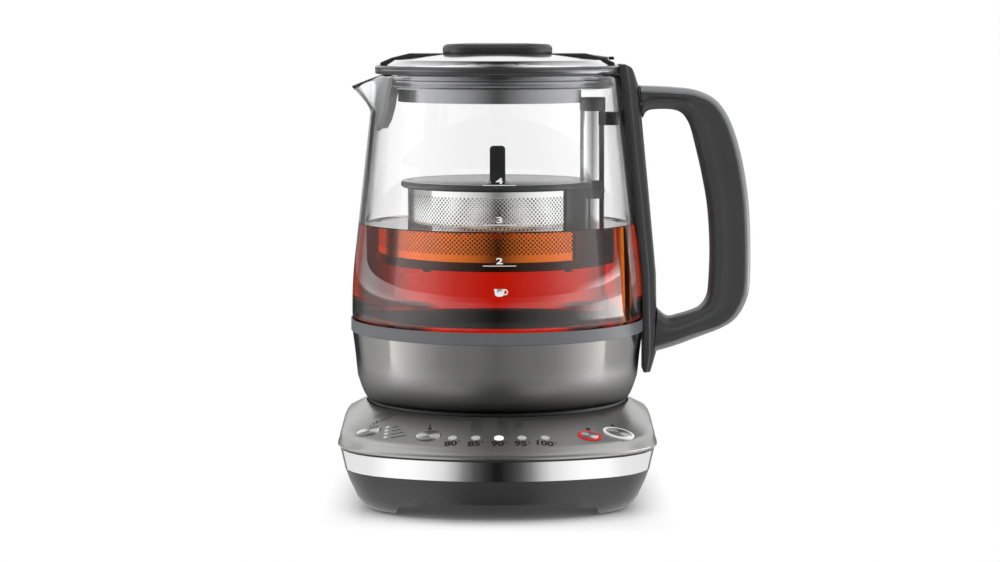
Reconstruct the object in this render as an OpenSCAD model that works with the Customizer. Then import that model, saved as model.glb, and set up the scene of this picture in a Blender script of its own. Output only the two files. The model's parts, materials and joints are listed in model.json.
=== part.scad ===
// Automatic tea maker: a glass jug with a steel base, a lift-off lid and a tea basket that rides
// up and down a post, standing on a power base with a control panel.
// Millimetres, +Z up, +X towards the handle, -Y towards the front, origin on the floor under the jug.

/* [Power base] */
// How far the base reaches out past the rim of the well at its sides
side_reach = 11.2; // [9:0.1:25]
// How far the base reaches out past that rim at the front
front_reach = 23.5; // [18:0.5:40]
// How far the base reaches out past that rim at the rear
rear_reach = 7.5; // [7.5:0.5:28]
// Radius of the bowed front and rear edges
base_bow_r = 120; // [110:1:200]
// Radius of the corners, seen from above
base_corner_r = 41; // [30:1:50]
// Height of the rim that the jug stands inside
seat_rim_z = 48; // [44:0.1:54]
// Clearance between that rim and the foot of the jug
seat_gap = 1.6; // [1:0.1:3]
// Depth of the well inside the rim
seat_depth = 3; // [2.5:0.1:4]
// Height of the lower edge of the top cover
cover_edge_z = 30.6; // [28:0.1:33]
// Height of the rolled bead along that edge
bead_h = 3.2; // [2:0.1:5]
// How far the bead stands out
bead_out = 0.6; // [0.2:0.1:1.5]
// How much of the fall at the sides happens right at the edge
shoulder = 0.45; // [0.1:0.05:0.6]
// Wall of the top cover
cover_wall = 2.5; // [1.8:0.1:3]
// Wall of the bottom housing
housing_wall = 3; // [2:0.1:4]
// Height of the arches between the feet
arch_h = 8; // [4:0.1:9]
// Half of the width of the front arch
arch_half_w = 49.6; // [30:0.1:49.6]
// How far the side arches reach to the front of the jug's axis
side_arch_front = 38; // [20:0.5:42]
// How far the side arches reach to the rear of the jug's axis
side_arch_rear = 24; // [10:0.5:25]
// Thickness of the polished band
band_t = 1.2; // [0.6:0.1:2]
// Height of the lower edge of the polished band
band_z = 20; // [16:0.1:24]
// Radius of a rubber foot
foot_r = 5; // [4:0.1:5.2]
// Height of a rubber foot
foot_h = 2.4; // [2:0.1:4]

/* [Control panel] */
// Length and height of the strength and temperature buttons
button_size = [11.8, 7.2];
// Length and height of the stop button inside its light ring
stop_size = [8.8, 5.2];
// Length and height of the start button inside its light ring
start_size = [12.8, 7.4];
// Width of the light rings
ring_w = 1.1; // [0.6:0.1:2]
// How far a button travels
button_travel = 0.8; // [0.4:0.1:0.8]
// How far a button stands out of the panel
button_out = 0.7; // [0.3:0.1:1.2]
// Clearance round a button
button_gap = 0.3; // [0.2:0.05:0.5]
// Length and height of a temperature light
light_size = [4.4, 3.2];
// Radius of a strength light
dot_r = 1.1; // [0.8:0.1:1.4]

/* [Jug] */
// Height of the underside of the jug over the floor of the seat
jug_lift = 2.2; // [2.1:0.05:3]
// Outer radius of the glass at its foot
glass_base_r = 72.9; // [68:0.1:80]
// Outer radius of the glass at its rim
glass_rim_r = 61.3; // [58:0.1:66]
// Height of the rim of the glass
glass_rim_z = 211; // [195:0.5:225]
// Wall of the glass
glass_wall = 2.8; // [2:0.1:3.5]
// How far the spout stands out
spout_out = 12.1; // [8:0.1:16]
// How far the rim drops at the spout
spout_drop = 5.6; // [3:0.1:8]
// Half of the angle that the spout takes
spout_half_angle = 24; // [18:1:30]
// Height of the jug's heated floor
floor_z = 88; // [84:0.1:92]
// How far the ring between the glass and the metal shell stands out past the glass
collar_out = 0.6; // [0.4:0.1:6]
// Height of that ring
collar_h = 5.9; // [4:0.1:8]
// Sheet thickness of the metal shell
shell_t = 1; // [0.6:0.1:1.5]
// Radius of the hub that takes the connector
socket_r = 17.5; // [15:0.1:20]
// How far the connector hub stands over the rim of the seat
socket_rise = 2.9; // [2:0.1:4]
// Radial clearance of the connector
connector_gap = 0.6; // [0.4:0.05:1]

/* [Handle] */
// Half of the width of the handle
handle_half_w = 10.5; // [8:0.1:12]
// Half of the width of the spine
spine_half_w = 12; // [11:0.1:15]
// Clearance between the spine and the glass
spine_gap = 0.5; // [0.3:0.05:1]
// Thickness of the spine over the glass at its foot
spine_t_low = 6.6; // [5:0.1:10]
// Thickness of the spine over the glass at its top
spine_t_high = 8.3; // [5:0.1:10]
// Reach of the handle past the foot of the glass
handle_reach = 53.5; // [45:0.1:65]
// Thickness of the cover along the outer edge of the handle
handle_cover_t = 3; // [2:0.1:5]

/* [Lid] */
// How far the lid's rim is set in from the glass
lid_set_in = 0.3; // [0:0.1:2]
// Thickness of the lid's rim
lid_rim_h = 4.3; // [3:0.1:6]
// Height of the metal dome over the rim
dome_h = 6.7; // [4:0.1:10]
// Width of the bevel round the metal cap
bevel_w = 4.2; // [2:0.1:8]
// Height of the grip over the dome
grip_h = 4.2; // [3:0.1:8]
// Half of the length of the grip
grip_half_l = 27.3; // [20:0.1:34]
// Half of the width of the bar across the lid
bar_half_w = 11; // [8:0.5:16]
// Radius of the skirt under the lid
skirt_r = 49.6; // [49:0.1:54]
// Depth of the skirt under the glass rim
skirt_depth = 13.3; // [8:0.1:15]
// Clearance between the lid's seal and the glass
seal_gap = 0.3; // [0.2:0.05:0.6]
// Length of the strainer in the spout
strainer_l = 26; // [15:0.5:30]

/* [Tea basket] */
// Outer radius of the basket's steel wall
basket_r = 44.5; // [40:0.1:45]
// How far the basket's rim stands out past its wall
basket_rim_out = 3.8; // [2.5:0.1:5]
// Height of the basket's foot in this pose
basket_z = 116; // [112:0.5:120]
// Height of the basket with its rim
basket_h = 42.3; // [36:0.1:46]
// Sheet thickness of the basket
basket_t = 0.6; // [0.4:0.1:1]
// Height of the tab over the basket's lid
tab_h = 17; // [8:0.5:20]
// How far the basket travels down from this pose
basket_down = 24; // [10:1:25]
// How far the basket travels up from this pose
basket_up = 20; // [5:1:22]

/* [Lift post] */
// Distance of the post from the jug's axis
post_x = 47.4; // [46.5:0.1:49]
// Outer radius of the post
post_r = 6.1; // [5.5:0.1:6.5]
// Wall of the post
post_wall = 0.8; // [0.5:0.1:1]
// Radial clearance of the sliding collar on the post
slide_gap = 0.08; // [0.02:0.01:0.1]
// Radius of the lift screw
screw_r = 2; // [1.5:0.1:2.5]

/* [Hidden] */

$fn = 96;
eps = 0.05;
fit = 0.3;
angles = [for (k = [0:71]) k * 5 - 180];
collar_r = glass_base_r + collar_out;
lip_r = collar_r - 8.6;
seat_rim_r = lip_r + seat_gap;
base_half_w = seat_rim_r + side_reach;
base_front = seat_rim_r + front_reach;
base_rear = seat_rim_r + rear_reach;
lid_r = glass_rim_r - lid_set_in;
basket_rim_r = basket_r + basket_rim_out;
seat_floor_z = seat_rim_z - seat_depth;
jug_z = seat_floor_z + jug_lift;
cover_top_edge_z = cover_edge_z + bead_h;
housing_top_z = cover_edge_z - 0.2;
housing_floor_z = arch_h + 2.5;
band_top_z = housing_top_z - 0.5;
collar_z = floor_z - 4.4;
collar_top_z = collar_z + collar_h;

// ---------- lofts ----------

function sides(n, m) = [for (j = [0:m - 2], i = [0:n - 1]) let (k = (i + 1) % n, a = j * n, b = a + n)
    each [[a + i, b + i, b + k], [a + i, b + k, a + k]]];

// Skins a stack of rings, each a list of points, and closes both ends.
module loft(rings) {
    n = len(rings[0]);
    m = len(rings);
    polyhedron(points = [for (r = rings) each r], convexity = 10, faces = concat(
        [[for (i = [0:n - 1]) i]], sides(n, m), [[for (i = [n - 1:-1:0]) (m - 1) * n + i]]));
}

// The same for rings round the Z axis, with each end closed by a fan round a point on the axis.
module round_loft(rings) {
    n = len(rings[0]);
    m = len(rings);
    polyhedron(convexity = 10,
        points = concat([for (r = rings) each r], [[0, 0, rings[0][0][2]], [0, 0, rings[m - 1][0][2]]]),
        faces = concat([for (i = [0:n - 1]) [i, (i + 1) % n, n * m]], sides(n, m),
                       [for (i = [0:n - 1]) [(m - 1) * n + (i + 1) % n, (m - 1) * n + i, n * m + 1]]));
}

// Skins a closed ring of closed sections.
module ring_loft(sections) {
    n = len(sections);
    m = len(sections[0]);
    polyhedron(points = [for (s = sections) each s], convexity = 10, faces =
        [for (i = [0:n - 1], j = [0:m - 1])
            let (a = i * m, b = ((i + 1) % n) * m, k = (j + 1) % m)
            each [[a + j, a + k, b + k], [a + j, b + k, b + j]]]);
}

function polar(a, r, z) = [r * cos(a), r * sin(a), z];

// ---------- outline of the base ----------

// Where a ray along u leaves the circle round c.
function hit(u, c, r) = u * c + sqrt((u * c) * (u * c) - c * c + r * r);

// Radius of the base's outline at an angle, set in by d: bowed edges, round corners, straight sides.
function outline_r(a, d = 0) =
    let (e = (sin(a) < 0 ? base_front : base_rear) - d, hw = base_half_w - d,
         rf = base_bow_r - d, rc = base_corner_r - d,
         u = [abs(cos(a)), abs(sin(a))],
         p = asin((hw - rc) / (rf - rc)),
         c1 = [0, e - rf], c2 = [hw - rc, e - rf + (rf - rc) * cos(p)],
         j = c1 + rf * [sin(p), cos(p)],
         b = atan2(u[1], u[0]))
    b >= atan2(j[1], j[0]) ? hit(u, c1, rf) : b >= atan2(c2[1], hw) ? hit(u, c2, rc) : hw / u[0];

// ---------- surface of the top cover ----------

// Share of the fall from the rim to the edge, at share s of the way out.
function fall(a, s) =
    let (k = shoulder * (1 - 0.92 * pow(max(0, -sin(a)), 1.5))) (1 - k) * s + k * pow(s, 24);
function cover_point(a, s) =
    polar(a, seat_rim_r + (outline_r(a) - seat_rim_r) * s,
          seat_rim_z - (seat_rim_z - cover_top_edge_z) * fall(a, s));
function unit(v) = v / norm(v);
function cover_normal(a, s) =
    unit(cross(cover_point(a + 0.5, s) - cover_point(a - 0.5, s),
               cover_point(a, s - 0.02) - cover_point(a, s + 0.02)));

// Puts children on the cover at [angle, share], with Z along the normal and X to the right.
module on_cover(at) {
    n = cover_normal(at[0], at[1]);
    u = unit([1, 0, 0] - n[0] * n);
    v = cross(n, u);
    o = cover_point(at[0], at[1]);
    multmatrix([[u[0], v[0], n[0], o[0]], [u[1], v[1], n[1], o[1]],
                [u[2], v[2], n[2], o[2]], [0, 0, 0, 1]]) children();
}

// Places on the cover, each [angle round the jug's axis, share of the way from the rim to the edge]
strength_at = [-136, 0.7];
temperature_at = [-113.8, 0.6];
stop_at = [-58.4, 0.66];
start_at = [-47.6, 0.7];
light_at = [for (k = [-2:2]) [-89.5 + k * 7.9, 0.575 + 0.008 * k * k]];
dot_at = [for (k = [0:3]) [-131.2 + k * 1.2, 0.49 + k * 0.09]];

module ellipse_plate(size, z0, z1, grow = 0) {
    translate([0, 0, z0]) linear_extrude(z1 - z0)
        polygon([for (k = [0:31]) let (a = k * 360 / 32)
            [(size[0] / 2 + grow) * cos(a), (size[1] / 2 + grow) * sin(a)]]);
}

module ring(r_out, r_in, z0, z1) {
    difference() {
        translate([0, 0, z0]) cylinder(r = r_out, h = z1 - z0);
        translate([0, 0, z0 - 1]) cylinder(r = r_in, h = z1 - z0 + 2);
    }
}

module at_post() { translate([post_x, 0, 0]) children(); }

// ---------- power base ----------

// Levels of the housing as [share of the height of the band's lower edge, distance set in]
housing_levels = [[0.04, 14.5], [0.175, 11], [0.355, 8.3], [0.665, 5.4], [1, 3]];
column_x = base_half_w - 16.7;
column_at = [[-column_x, 46 - base_front], [column_x, 46 - base_front],
             [-30, 24 - base_front], [30, 24 - base_front]];
board_post_at = [[-34, -18], [34, -18], [-34, 34], [34, 34]];
screw_at = [[-44, -40], [44, -40], [-44, 40], [44, 40]];
foot_x = base_half_w - 22.7;
foot_at = [for (x = [-foot_x, foot_x], y = [42 - base_front, base_rear - 43]) [x, y]];
gland_z = 22;
gland_y = base_rear - 2.8;

function band_here(a) = sin(a) < -0.52 ? 1 : 0;
function housing_ring(z, d, recess = 0) =
    [for (a = angles) polar(a, outline_r(a, d) - max(recess * band_here(a), recess > 0 ? eps : 0), z)];

module base_housing() {
    color("#4a4a4c") union() {
        difference() {
            round_loft(concat(
                [for (l = housing_levels) housing_ring(l[0] * band_z, l[1])],
                [housing_ring(band_z, 3, band_t + 0.1), housing_ring(band_top_z, 0.7, band_t + 0.1),
                 housing_ring(band_top_z, 0.7), housing_ring(housing_top_z, 0.6),
                 housing_ring(housing_top_z, 0.6 + housing_wall),
                 housing_ring(band_z, 4.2 + housing_wall),
                 housing_ring(housing_floor_z, 7.5 + housing_wall)]));
            rotate([90, 0, 0]) translate([0, 0, -120]) linear_extrude(240)
                polygon(arch_profile(-arch_half_w, arch_half_w));
            rotate([90, 0, 90]) translate([0, 0, -120]) linear_extrude(240)
                polygon(arch_profile(-side_arch_front, side_arch_rear));
            for (p = foot_at) translate([p[0], p[1], -1])
                cylinder(r = foot_r + 0.1, h = 1 + foot_h + eps);
            for (p = screw_at) translate([p[0], p[1], 0]) {
                cylinder(r = 3.4, h = arch_h + 1.6);
                cylinder(r = 1.7, h = 30);
            }
            translate([0, gland_y, gland_z]) rotate([-90, 0, 0])
                translate([0, 0, -12]) cylinder(r = 5.1, h = 24);
        }
        for (p = column_at) translate([p[0], p[1], housing_floor_z - 1])
            cylinder(r = 2.8, h = switch_plate_z - housing_floor_z + 1);
        for (p = board_post_at) translate([p[0], p[1], housing_floor_z - 1])
            cylinder(r = 2.5, h = board_z - housing_floor_z + 1);
    }
}

function arch_profile(a, b) =
    [[a - 0.2, -1], [a + 1.5, 4], [a + 3.6, arch_h - 1.5], [a + 6, arch_h],
     [b - 6, arch_h], [b - 3.6, arch_h - 1.5], [b - 1.5, 4], [b + 0.2, -1]];

module base_feet() {
    color("#232323") for (p = foot_at) translate([p[0], p[1], 0]) {
        cylinder(r = foot_r - 0.6, h = 0.5);
        translate([0, 0, 0.5]) cylinder(r = foot_r, h = foot_h - 0.5);
    }
}

module base_screws() {
    color("silver") for (p = screw_at) translate([p[0], p[1], 0]) difference() {
        union() {
            translate([0, 0, arch_h - 0.6]) cylinder(r = 2.9, h = 2.15);
            translate([0, 0, arch_h]) cylinder(r = 1.5, h = 18);
        }
        translate([0, 0, arch_h - 1]) cylinder(r = 1.3, h = 1.6, $fn = 6);
    }
}

function cover_section(a) =
    let (r = outline_r(a), z = cover_edge_z, steps = [for (k = [0:10]) 1 - pow(k / 10, 1.6)],
         inner = [for (k = [0:2:10]) 1 - pow(1 - k / 10, 1.6)])
    concat(
        [[r - 0.6, z], [r + bead_out * 0.6, z + 0.5], [r + bead_out, z + bead_h * 0.35],
         [r + bead_out, z + bead_h * 0.6], [r + bead_out * 0.4, z + bead_h * 0.85]],
        [for (s = steps) let (p = cover_point(a, s)) [norm([p[0], p[1]]), p[2]]],
        [[seat_rim_r - 0.5, seat_rim_z], [seat_rim_r - 0.9, seat_rim_z - 0.4],
         [seat_rim_r - 1, seat_floor_z],
         [socket_r + 0.5, seat_floor_z], [socket_r + 0.5, seat_floor_z - cover_wall],
         [seat_rim_r - 5, seat_floor_z - cover_wall]],
        [for (s = inner) let (p = cover_point(a, s))
            [norm([p[0], p[1]]) - 2.2 * s * s, max(z + 0.6, p[2] - cover_wall - 0.2)]],
        [[r - 2.2, z]]);

module panel_holes() {
    for (b = [[strength_at, button_size, button_gap], [temperature_at, button_size, button_gap],
              [stop_at, stop_size, button_gap + ring_w + 0.1],
              [start_at, start_size, button_gap + ring_w + 0.1]])
        on_cover(b[0]) ellipse_plate(b[1], -9, 4, b[2]);
    for (p = light_at) on_cover(p) ellipse_plate(light_size, -6, 4, 0.1);
    for (p = dot_at) on_cover(p) translate([0, 0, -6]) cylinder(r = dot_r + 0.1, h = 10, $fn = 24);
}

module base_top_cover() {
    color("#8a8a86") union() {
        difference() {
            ring_loft([for (a = angles) [for (p = cover_section(a)) polar(a, p[0], p[1])]]);
            panel_holes();
        }
        for (p = screw_at) translate([p[0], p[1], 0])
            ring(3.2, 1.55, housing_floor_z + 0.1, seat_floor_z - 1);
    }
}

module base_band() {
    n = len(angles);
    front = [for (a = angles) if (band_here(a) == 1) a];
    color("#e8e8e8") loft([for (a = front) [
        polar(a, outline_r(a, 0.7), band_top_z - 0.1), polar(a, outline_r(a, 3), band_z + 0.1),
        polar(a, outline_r(a, 3) - band_t, band_z + 0.1),
        polar(a, outline_r(a, 0.7) - band_t, band_top_z - 0.1)]]);
}

seat_ring_in_r = seat_rim_r - 10.5;
module jug_seat_ring() {
    color("#1a1a1b") rotate_extrude() polygon([
        [seat_ring_in_r, seat_floor_z + eps], [seat_rim_r - 1.2, seat_floor_z + eps],
        [seat_rim_r - 1.2, jug_z - 0.5], [seat_rim_r - 1.8, jug_z - fit],
        [seat_ring_in_r + 1, jug_z - fit], [seat_ring_in_r, jug_z - 0.8]]);
}

socket_top_z = seat_rim_z + socket_rise;
socket_bottom_z = seat_floor_z - cover_wall - 5;
pin_r = 4;
ring_out_r = 12;
ring_in_r = 10;

module connector_socket() {
    g = connector_gap;
    color("#2b2b2d") difference() {
        union() {
            translate([0, 0, socket_bottom_z]) cylinder(r = socket_r + 6, h = 5 - eps);
            translate([0, 0, socket_bottom_z]) cylinder(r = socket_r, h = socket_top_z - socket_bottom_z);
        }
        translate([0, 0, socket_top_z - 11]) cylinder(r = pin_r + g, h = 20);
        translate([0, 0, socket_top_z - 7.5]) ring(ring_out_r + g, ring_in_r - g, 0, 20);
    }
}

module socket_contacts() {
    color("#b87333") {
        translate([0, 0, socket_top_z - 7.45]) ring(ring_out_r + 0.5, ring_in_r - 0.5, 0, 0.8);
        translate([0, 0, socket_top_z - 10.95]) cylinder(r = pin_r + 0.5, h = 0.8);
    }
}

module cable_gland() {
    color("#2b2b2d") translate([0, gland_y, gland_z]) rotate([-90, 0, 0]) difference() {
        union() {
            translate([0, 0, -6.5]) cylinder(r = 5, h = 9);
            translate([0, 0, 2.45]) cylinder(r = 6.4, h = 1.4);
            translate([0, 0, -8]) cylinder(r = 6.4, h = 1.6);
        }
        translate([0, 0, -10]) cylinder(r = 3.2, h = 20);
    }
}

board_z = 14;
switch_plate_z = 22;

module circuit_board() {
    color("#1f6b3a") difference() {
        translate([-38, -24, board_z + eps]) cube([76, 64, 1.6]);
        for (p = board_post_at) translate([p[0], p[1], 0]) cylinder(r = 1.2, h = 30);
    }
}

module power_parts() {
    z = board_z + 1.7;
    color("#26364d") {
        translate([-30, -14, z]) cube([19, 15, 15]);
        translate([10, -12, z]) cube([22, 20, 13]);
        for (x = [-22, -8, 8]) translate([x, 26, z]) cylinder(r = 5, h = 14);
    }
}

switch_depth = 4.3 + button_travel + 0.1;
switch_places = [strength_at, temperature_at, stop_at, start_at];

module switch_frame() {
    color("#3a3a3c") union() {
        difference() {
            intersection() {
                round_loft([housing_ring(switch_plate_z + eps, 11), housing_ring(switch_plate_z + 1.6, 11)]);
                translate([-90, -100, 0]) cube([180, 66, 60]);
            }
            for (x = [-44, 44]) translate([x, -40, 0]) cylinder(r = 4, h = 60);
        }
        intersection() {
            for (p = switch_places) on_cover(p)
                translate([0, 0, -40]) cylinder(r = 4.4, h = 40 - switch_depth - 3.9);
            translate([-90, -100, switch_plate_z + 0.5]) cube([180, 100, 60]);
        }
    }
}

module tact_switches() {
    color("#1d1d1f") for (p = switch_places) on_cover(p) {
        translate([-2.9, -2.9, -switch_depth - 3.85]) cube([5.8, 5.8, 3]);
        translate([0, 0, -switch_depth - 1]) cylinder(r = 1.5, h = 1);
    }
}

module temperature_lights() {
    color("white") for (p = light_at) on_cover(p) ellipse_plate(light_size, -3, 0.15);
}

module strength_lights() {
    color("white") for (p = dot_at) on_cover(p) translate([0, 0, -3]) cylinder(r = dot_r, h = 3.15);
}

module light_ring(at, size) {
    on_cover(at) difference() {
        ellipse_plate(size, -3, 0.35, button_gap + ring_w);
        ellipse_plate(size, -9, 9, button_gap);
    }
}
module stop_light_ring() { color("#c01818") light_ring(stop_at, stop_size); }
module start_light_ring() { color("white") light_ring(start_at, start_size); }

module push_button(at, size, tray) {
    color("#c8c8c8") on_cover(at) {
        ellipse_plate(size, -3.9, button_out);
        translate([0, 0, -4.3]) cylinder(r = 1.7, h = 2);
        ellipse_plate(size, -4.25, -3.8, tray);
    }
}
module strength_button() { push_button(strength_at, button_size, 1); }
module temperature_button() { push_button(temperature_at, button_size, 1); }
module stop_button() { push_button(stop_at, stop_size, 1.2); }
module start_button() { push_button(start_at, start_size, 1.2); }

// ---------- jug base ----------

connector_z = socket_top_z + 0.5;
connector_top_z = connector_z + 3;
hub_r = socket_r + 2.1;

module jug_connector() {
    color("#2b2b2d") {
        translate([0, 0, connector_z]) cylinder(r = socket_r + 1.5, h = 3);
        translate([0, 0, connector_z - 9]) cylinder(r = pin_r, h = 9.5);
        translate([0, 0, connector_z - 6]) ring(ring_out_r, ring_in_r, 0, 6.5);
    }
}

underside_in_z = jug_z + 3.6;

module jug_underside() {
    color("#1a1a1b") rotate_extrude() polygon([
        [hub_r + 2, jug_z], [lip_r - 2.4, jug_z], [lip_r, jug_z + 0.8], [lip_r, jug_z + 2.2],
        [lip_r - 1.5, jug_z + 2.2], [lip_r - 1.6, underside_in_z],
        [hub_r + 2.4, underside_in_z], [hub_r + 2.4, connector_top_z + 2.4],
        [8, connector_top_z + 2.4], [8, connector_top_z + 0.4], [hub_r, connector_top_z + 0.4],
        [hub_r, jug_z + 2]]);
}

// Outer profile of the metal shell as [distance under the collar, distance set in from the collar's radius]
shell_profile = [[0.2, 0.6], [12, 2.1], [22.7, 3.2], [28.2, 5], [31.5, 6.4], [33.6, 7.7]];
shell_bottom_z = collar_z - 33.7;

module jug_shell() {
    out = [for (p = shell_profile) [collar_r - p[1], collar_z - p[0]]];
    color("#8a8a86") rotate_extrude() polygon(concat(
        out, [[lip_r, shell_bottom_z - 0.1], [lip_r - 1.2, shell_bottom_z],
              [lip_r - 1.2, shell_bottom_z + 0.8]],
        [for (k = [len(out) - 1:-1:0]) out[k] + [-shell_t, k == 0 ? 0 : 0.6]]));
}

module jug_collar() {
    color("#6d7073") rotate_extrude() polygon([
        [collar_r - 4.6, collar_z], [collar_r, collar_z], [collar_r, collar_top_z],
        [glass_base_r + 0.1, collar_top_z], [glass_base_r - 1, collar_z + 3.6],
        [glass_base_r - 1, collar_z + 2.2], [collar_r - 4.6, collar_z + 2.2]]);
}

module glass_gasket() {
    color("#d9d9d6") rotate_extrude() polygon([
        [glass_base_r - 3, collar_z + 2.25], [glass_base_r - 1.05, collar_z + 2.25],
        [glass_base_r - 1.05, collar_z + 3.7], [glass_base_r - 3, collar_z + 3.7]]);
}

module heater_plate() {
    color("#b5b5b3") difference() {
        union() {
            translate([0, 0, floor_z - 2.1]) cylinder(r = glass_base_r - 3.1, h = 2.1);
            ring(glass_base_r - 5, glass_base_r - 6, collar_z - 6, floor_z - 1);
        }
        at_post() translate([0, 0, 50]) cylinder(r = post_r + 0.1, h = 60);
    }
}

element_r = 3.3;
element_ring_r = 31;
element_z = floor_z - 2.15 - element_r;

module heating_element() {
    color("#8f8f8d") {
        translate([0, 0, element_z]) rotate([0, 0, 40]) rotate_extrude(angle = 320)
            translate([element_ring_r, 0]) circle(r = element_r, $fn = 32);
        for (a = [40, 0]) rotate([0, 0, a]) translate([element_ring_r, 0, element_z - 14])
            cylinder(r = 2, h = 14);
    }
}

module temperature_sensor() {
    color("#c9b037") {
        translate([-12, 0, floor_z - 2.15 - 4]) cylinder(r = 6, h = 4);
        translate([-12, 0, connector_top_z + 2.4 + eps]) cylinder(r = 2.5, h = floor_z - connector_top_z - 8.6);
    }
}

// ---------- glass ----------

bend_low_z = floor_z + 7;
bend_high_z = floor_z + 32;
glass_slope = (glass_base_r - glass_rim_r) / (glass_rim_z - bend_high_z + (bend_high_z - bend_low_z) / 2);
glass_foot_z = collar_z + 3.8;

// Outer radius of the glass: upright at the foot, a short bend, then a straight cone.
function glass_r(z) = z <= bend_low_z ? glass_base_r
    : z <= bend_high_z ? glass_base_r - glass_slope * pow(z - bend_low_z, 2) / 2 / (bend_high_z - bend_low_z)
    : glass_rim_r + glass_slope * (glass_rim_z - z);

spout_start_z = glass_rim_z - 21;
function spout_share(a) =
    let (d = abs(a - 180 * (a < 0 ? -1 : 1))) d < spout_half_angle
        ? pow(0.5 + 0.5 * cos(180 * d / spout_half_angle), 1.3) : 0;
function glass_point(a, z, wall) =
    let (t = max(0, (z - spout_start_z) / (glass_rim_z - spout_start_z)), k = spout_share(a),
         flare = spout_out * k * pow(max(0, t - 0.15) / 0.85, 1.3))
    polar(a, glass_r(z) - wall + flare, z - spout_drop * k * t);

glass_angles = concat([for (k = [0:9]) -180 + k * 3], [for (k = [0:50]) -150 + k * 6],
                      [for (k = [1:9]) 150 + k * 3]);

function glass_section(a) =
    let (top = glass_rim_z, w = glass_wall)
    concat(
        [polar(a, glass_base_r - 1.3, glass_foot_z), glass_point(a, collar_top_z + 0.1, 0.1)],
        [for (z = [bend_low_z, bend_low_z + 9, bend_low_z + 17, bend_high_z, spout_start_z,
                   top - 16, top - 12, top - 8, top - 4, top - 1]) glass_point(a, z, 0)],
        [glass_point(a, top, 0.6), glass_point(a, top, w - 0.6), glass_point(a, top - 1, w)],
        [for (z = [top - 4, top - 8, top - 12, top - 16, spout_start_z, bend_high_z,
                   bend_low_z + 12, bend_low_z]) glass_point(a, z, w)],
        [polar(a, glass_base_r - w, glass_foot_z)]);

module jug_glass() {
    color([0.85, 0.9, 0.95, 0.35]) ring_loft([for (a = glass_angles) glass_section(a)]);
}

strainer_top_z = glass_rim_z - 1.5;
strainer_low_z = strainer_top_z - strainer_l;
strainer_half_angle = 27.5;
strainer_half_w = (glass_rim_r - glass_wall) * sin(strainer_half_angle);
module spout_strainer() {
    low_r = glass_r(strainer_low_z) - glass_wall - 0.4;
    top_r = glass_r(strainer_top_z) - glass_wall - 0.4;
    w = strainer_half_w;
    color("#8d9094") intersection() {
        rotate_extrude() polygon([[low_r, strainer_low_z], [top_r, strainer_top_z],
                                  [top_r - 1.5, strainer_top_z], [low_r - 1.5, strainer_low_z]]);
        rotate([90, 0, -90]) linear_extrude(2 * glass_base_r) polygon([
            [-w, strainer_top_z], [-w + 2, strainer_low_z + 10], [-w + 4, strainer_low_z + 4],
            [-w + 8, strainer_low_z], [w - 8, strainer_low_z], [w - 4, strainer_low_z + 4],
            [w - 2, strainer_low_z + 10], [w, strainer_top_z]]);
    }
}

// ---------- handle ----------

spine_top_z = glass_rim_z + 5;
spine_bottom_z = collar_z - 21;
spine_levels = concat([spine_bottom_z, spine_bottom_z + 4, collar_z - 11, collar_z, collar_top_z + 4],
                      [for (k = [1:6]) collar_top_z + 4 + k * (glass_rim_z - collar_top_z - 10) / 6],
                      [glass_rim_z + 1, spine_top_z - 1.5, spine_top_z]);

// Radius of what the spine leans on, and of its outer face, at a height
function back_r(z) = (z < collar_top_z + 2 ? collar_r : max(lid_r, glass_r(z))) + spine_gap;
function spine_t(z) =
    spine_t_low + (spine_t_high - spine_t_low) * (z - collar_top_z) / (glass_rim_z - collar_top_z);
function spine_out(z) =
    z < collar_z - 10 ? glass_base_r + spine_t_low + 0.4 - 3.2 * (collar_z - 10 - z) / 11
    : z < collar_top_z ? glass_base_r + spine_t_low + 0.4 * (collar_top_z - z) / (collar_h + 10)
    : z <= glass_rim_z - 5 ? glass_r(z) + spine_t(z)
    : spine_out(glass_rim_z - 5) - 2.2 * (z - glass_rim_z + 5) / 10;

function spine_section(z) =
    let (r = back_r(z), x = spine_out(z), w = spine_half_w, b = asin(w / r), g = x - r * cos(b),
         side = [[0.6, 0], [0.5, 0.4], [0.46, 1.6], [0.18, 2], [0.05, 3.2], [0, 5.2]])
    concat(
        [for (k = [-3:3]) polar(-b * k / 3, r, z)],
        [for (p = side) [x - g * p[0], -w + p[1], z]],
        [for (k = [5:-1:0]) [x - g * side[k][0], w - side[k][1], z]]);

module handle_spine() {
    color("#4a4a4c") difference() {
        loft([for (z = spine_levels) spine_section(z)]);
        for (z = handle_screw_z) translate([40, 0, z]) rotate([0, 90, 0]) {
            cylinder(r = 1.7, h = 60);
            cylinder(r = 2.8, h = back_r(z) - 40 + 2);
        }
    }
}

handle_screw_z = [glass_rim_z - 14, collar_z - 3];
screw_thread_r = 1.1;

// The handle's outline between its roots, as shares of its reach and height: [outer x, z, inner x, z]
handle_shape = [
    [0.077, 0.998, 0.047, 0.908], [0.264, 0.995, 0.247, 0.912], [0.473, 0.985, 0.353, 0.898],
    [0.647, 0.955, 0.409, 0.871], [0.761, 0.902, 0.447, 0.835], [0.847, 0.826, 0.495, 0.76],
    [0.925, 0.708, 0.551, 0.663], [0.979, 0.565, 0.604, 0.542], [1, 0.405, 0.628, 0.392],
    [0.996, 0.256, 0.619, 0.253], [0.959, 0.188, 0.596, 0.202], [0.873, 0.129, 0.533, 0.167],
    [0.738, 0.091, 0.443, 0.15], [0.49, 0.052, 0.335, 0.138], [0.301, 0.023, 0.23, 0.131]];
handle_high_z = glass_rim_z - 5.6;
handle_low_z = collar_z - 11.2;
root_h = [16, 21.6];

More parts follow.
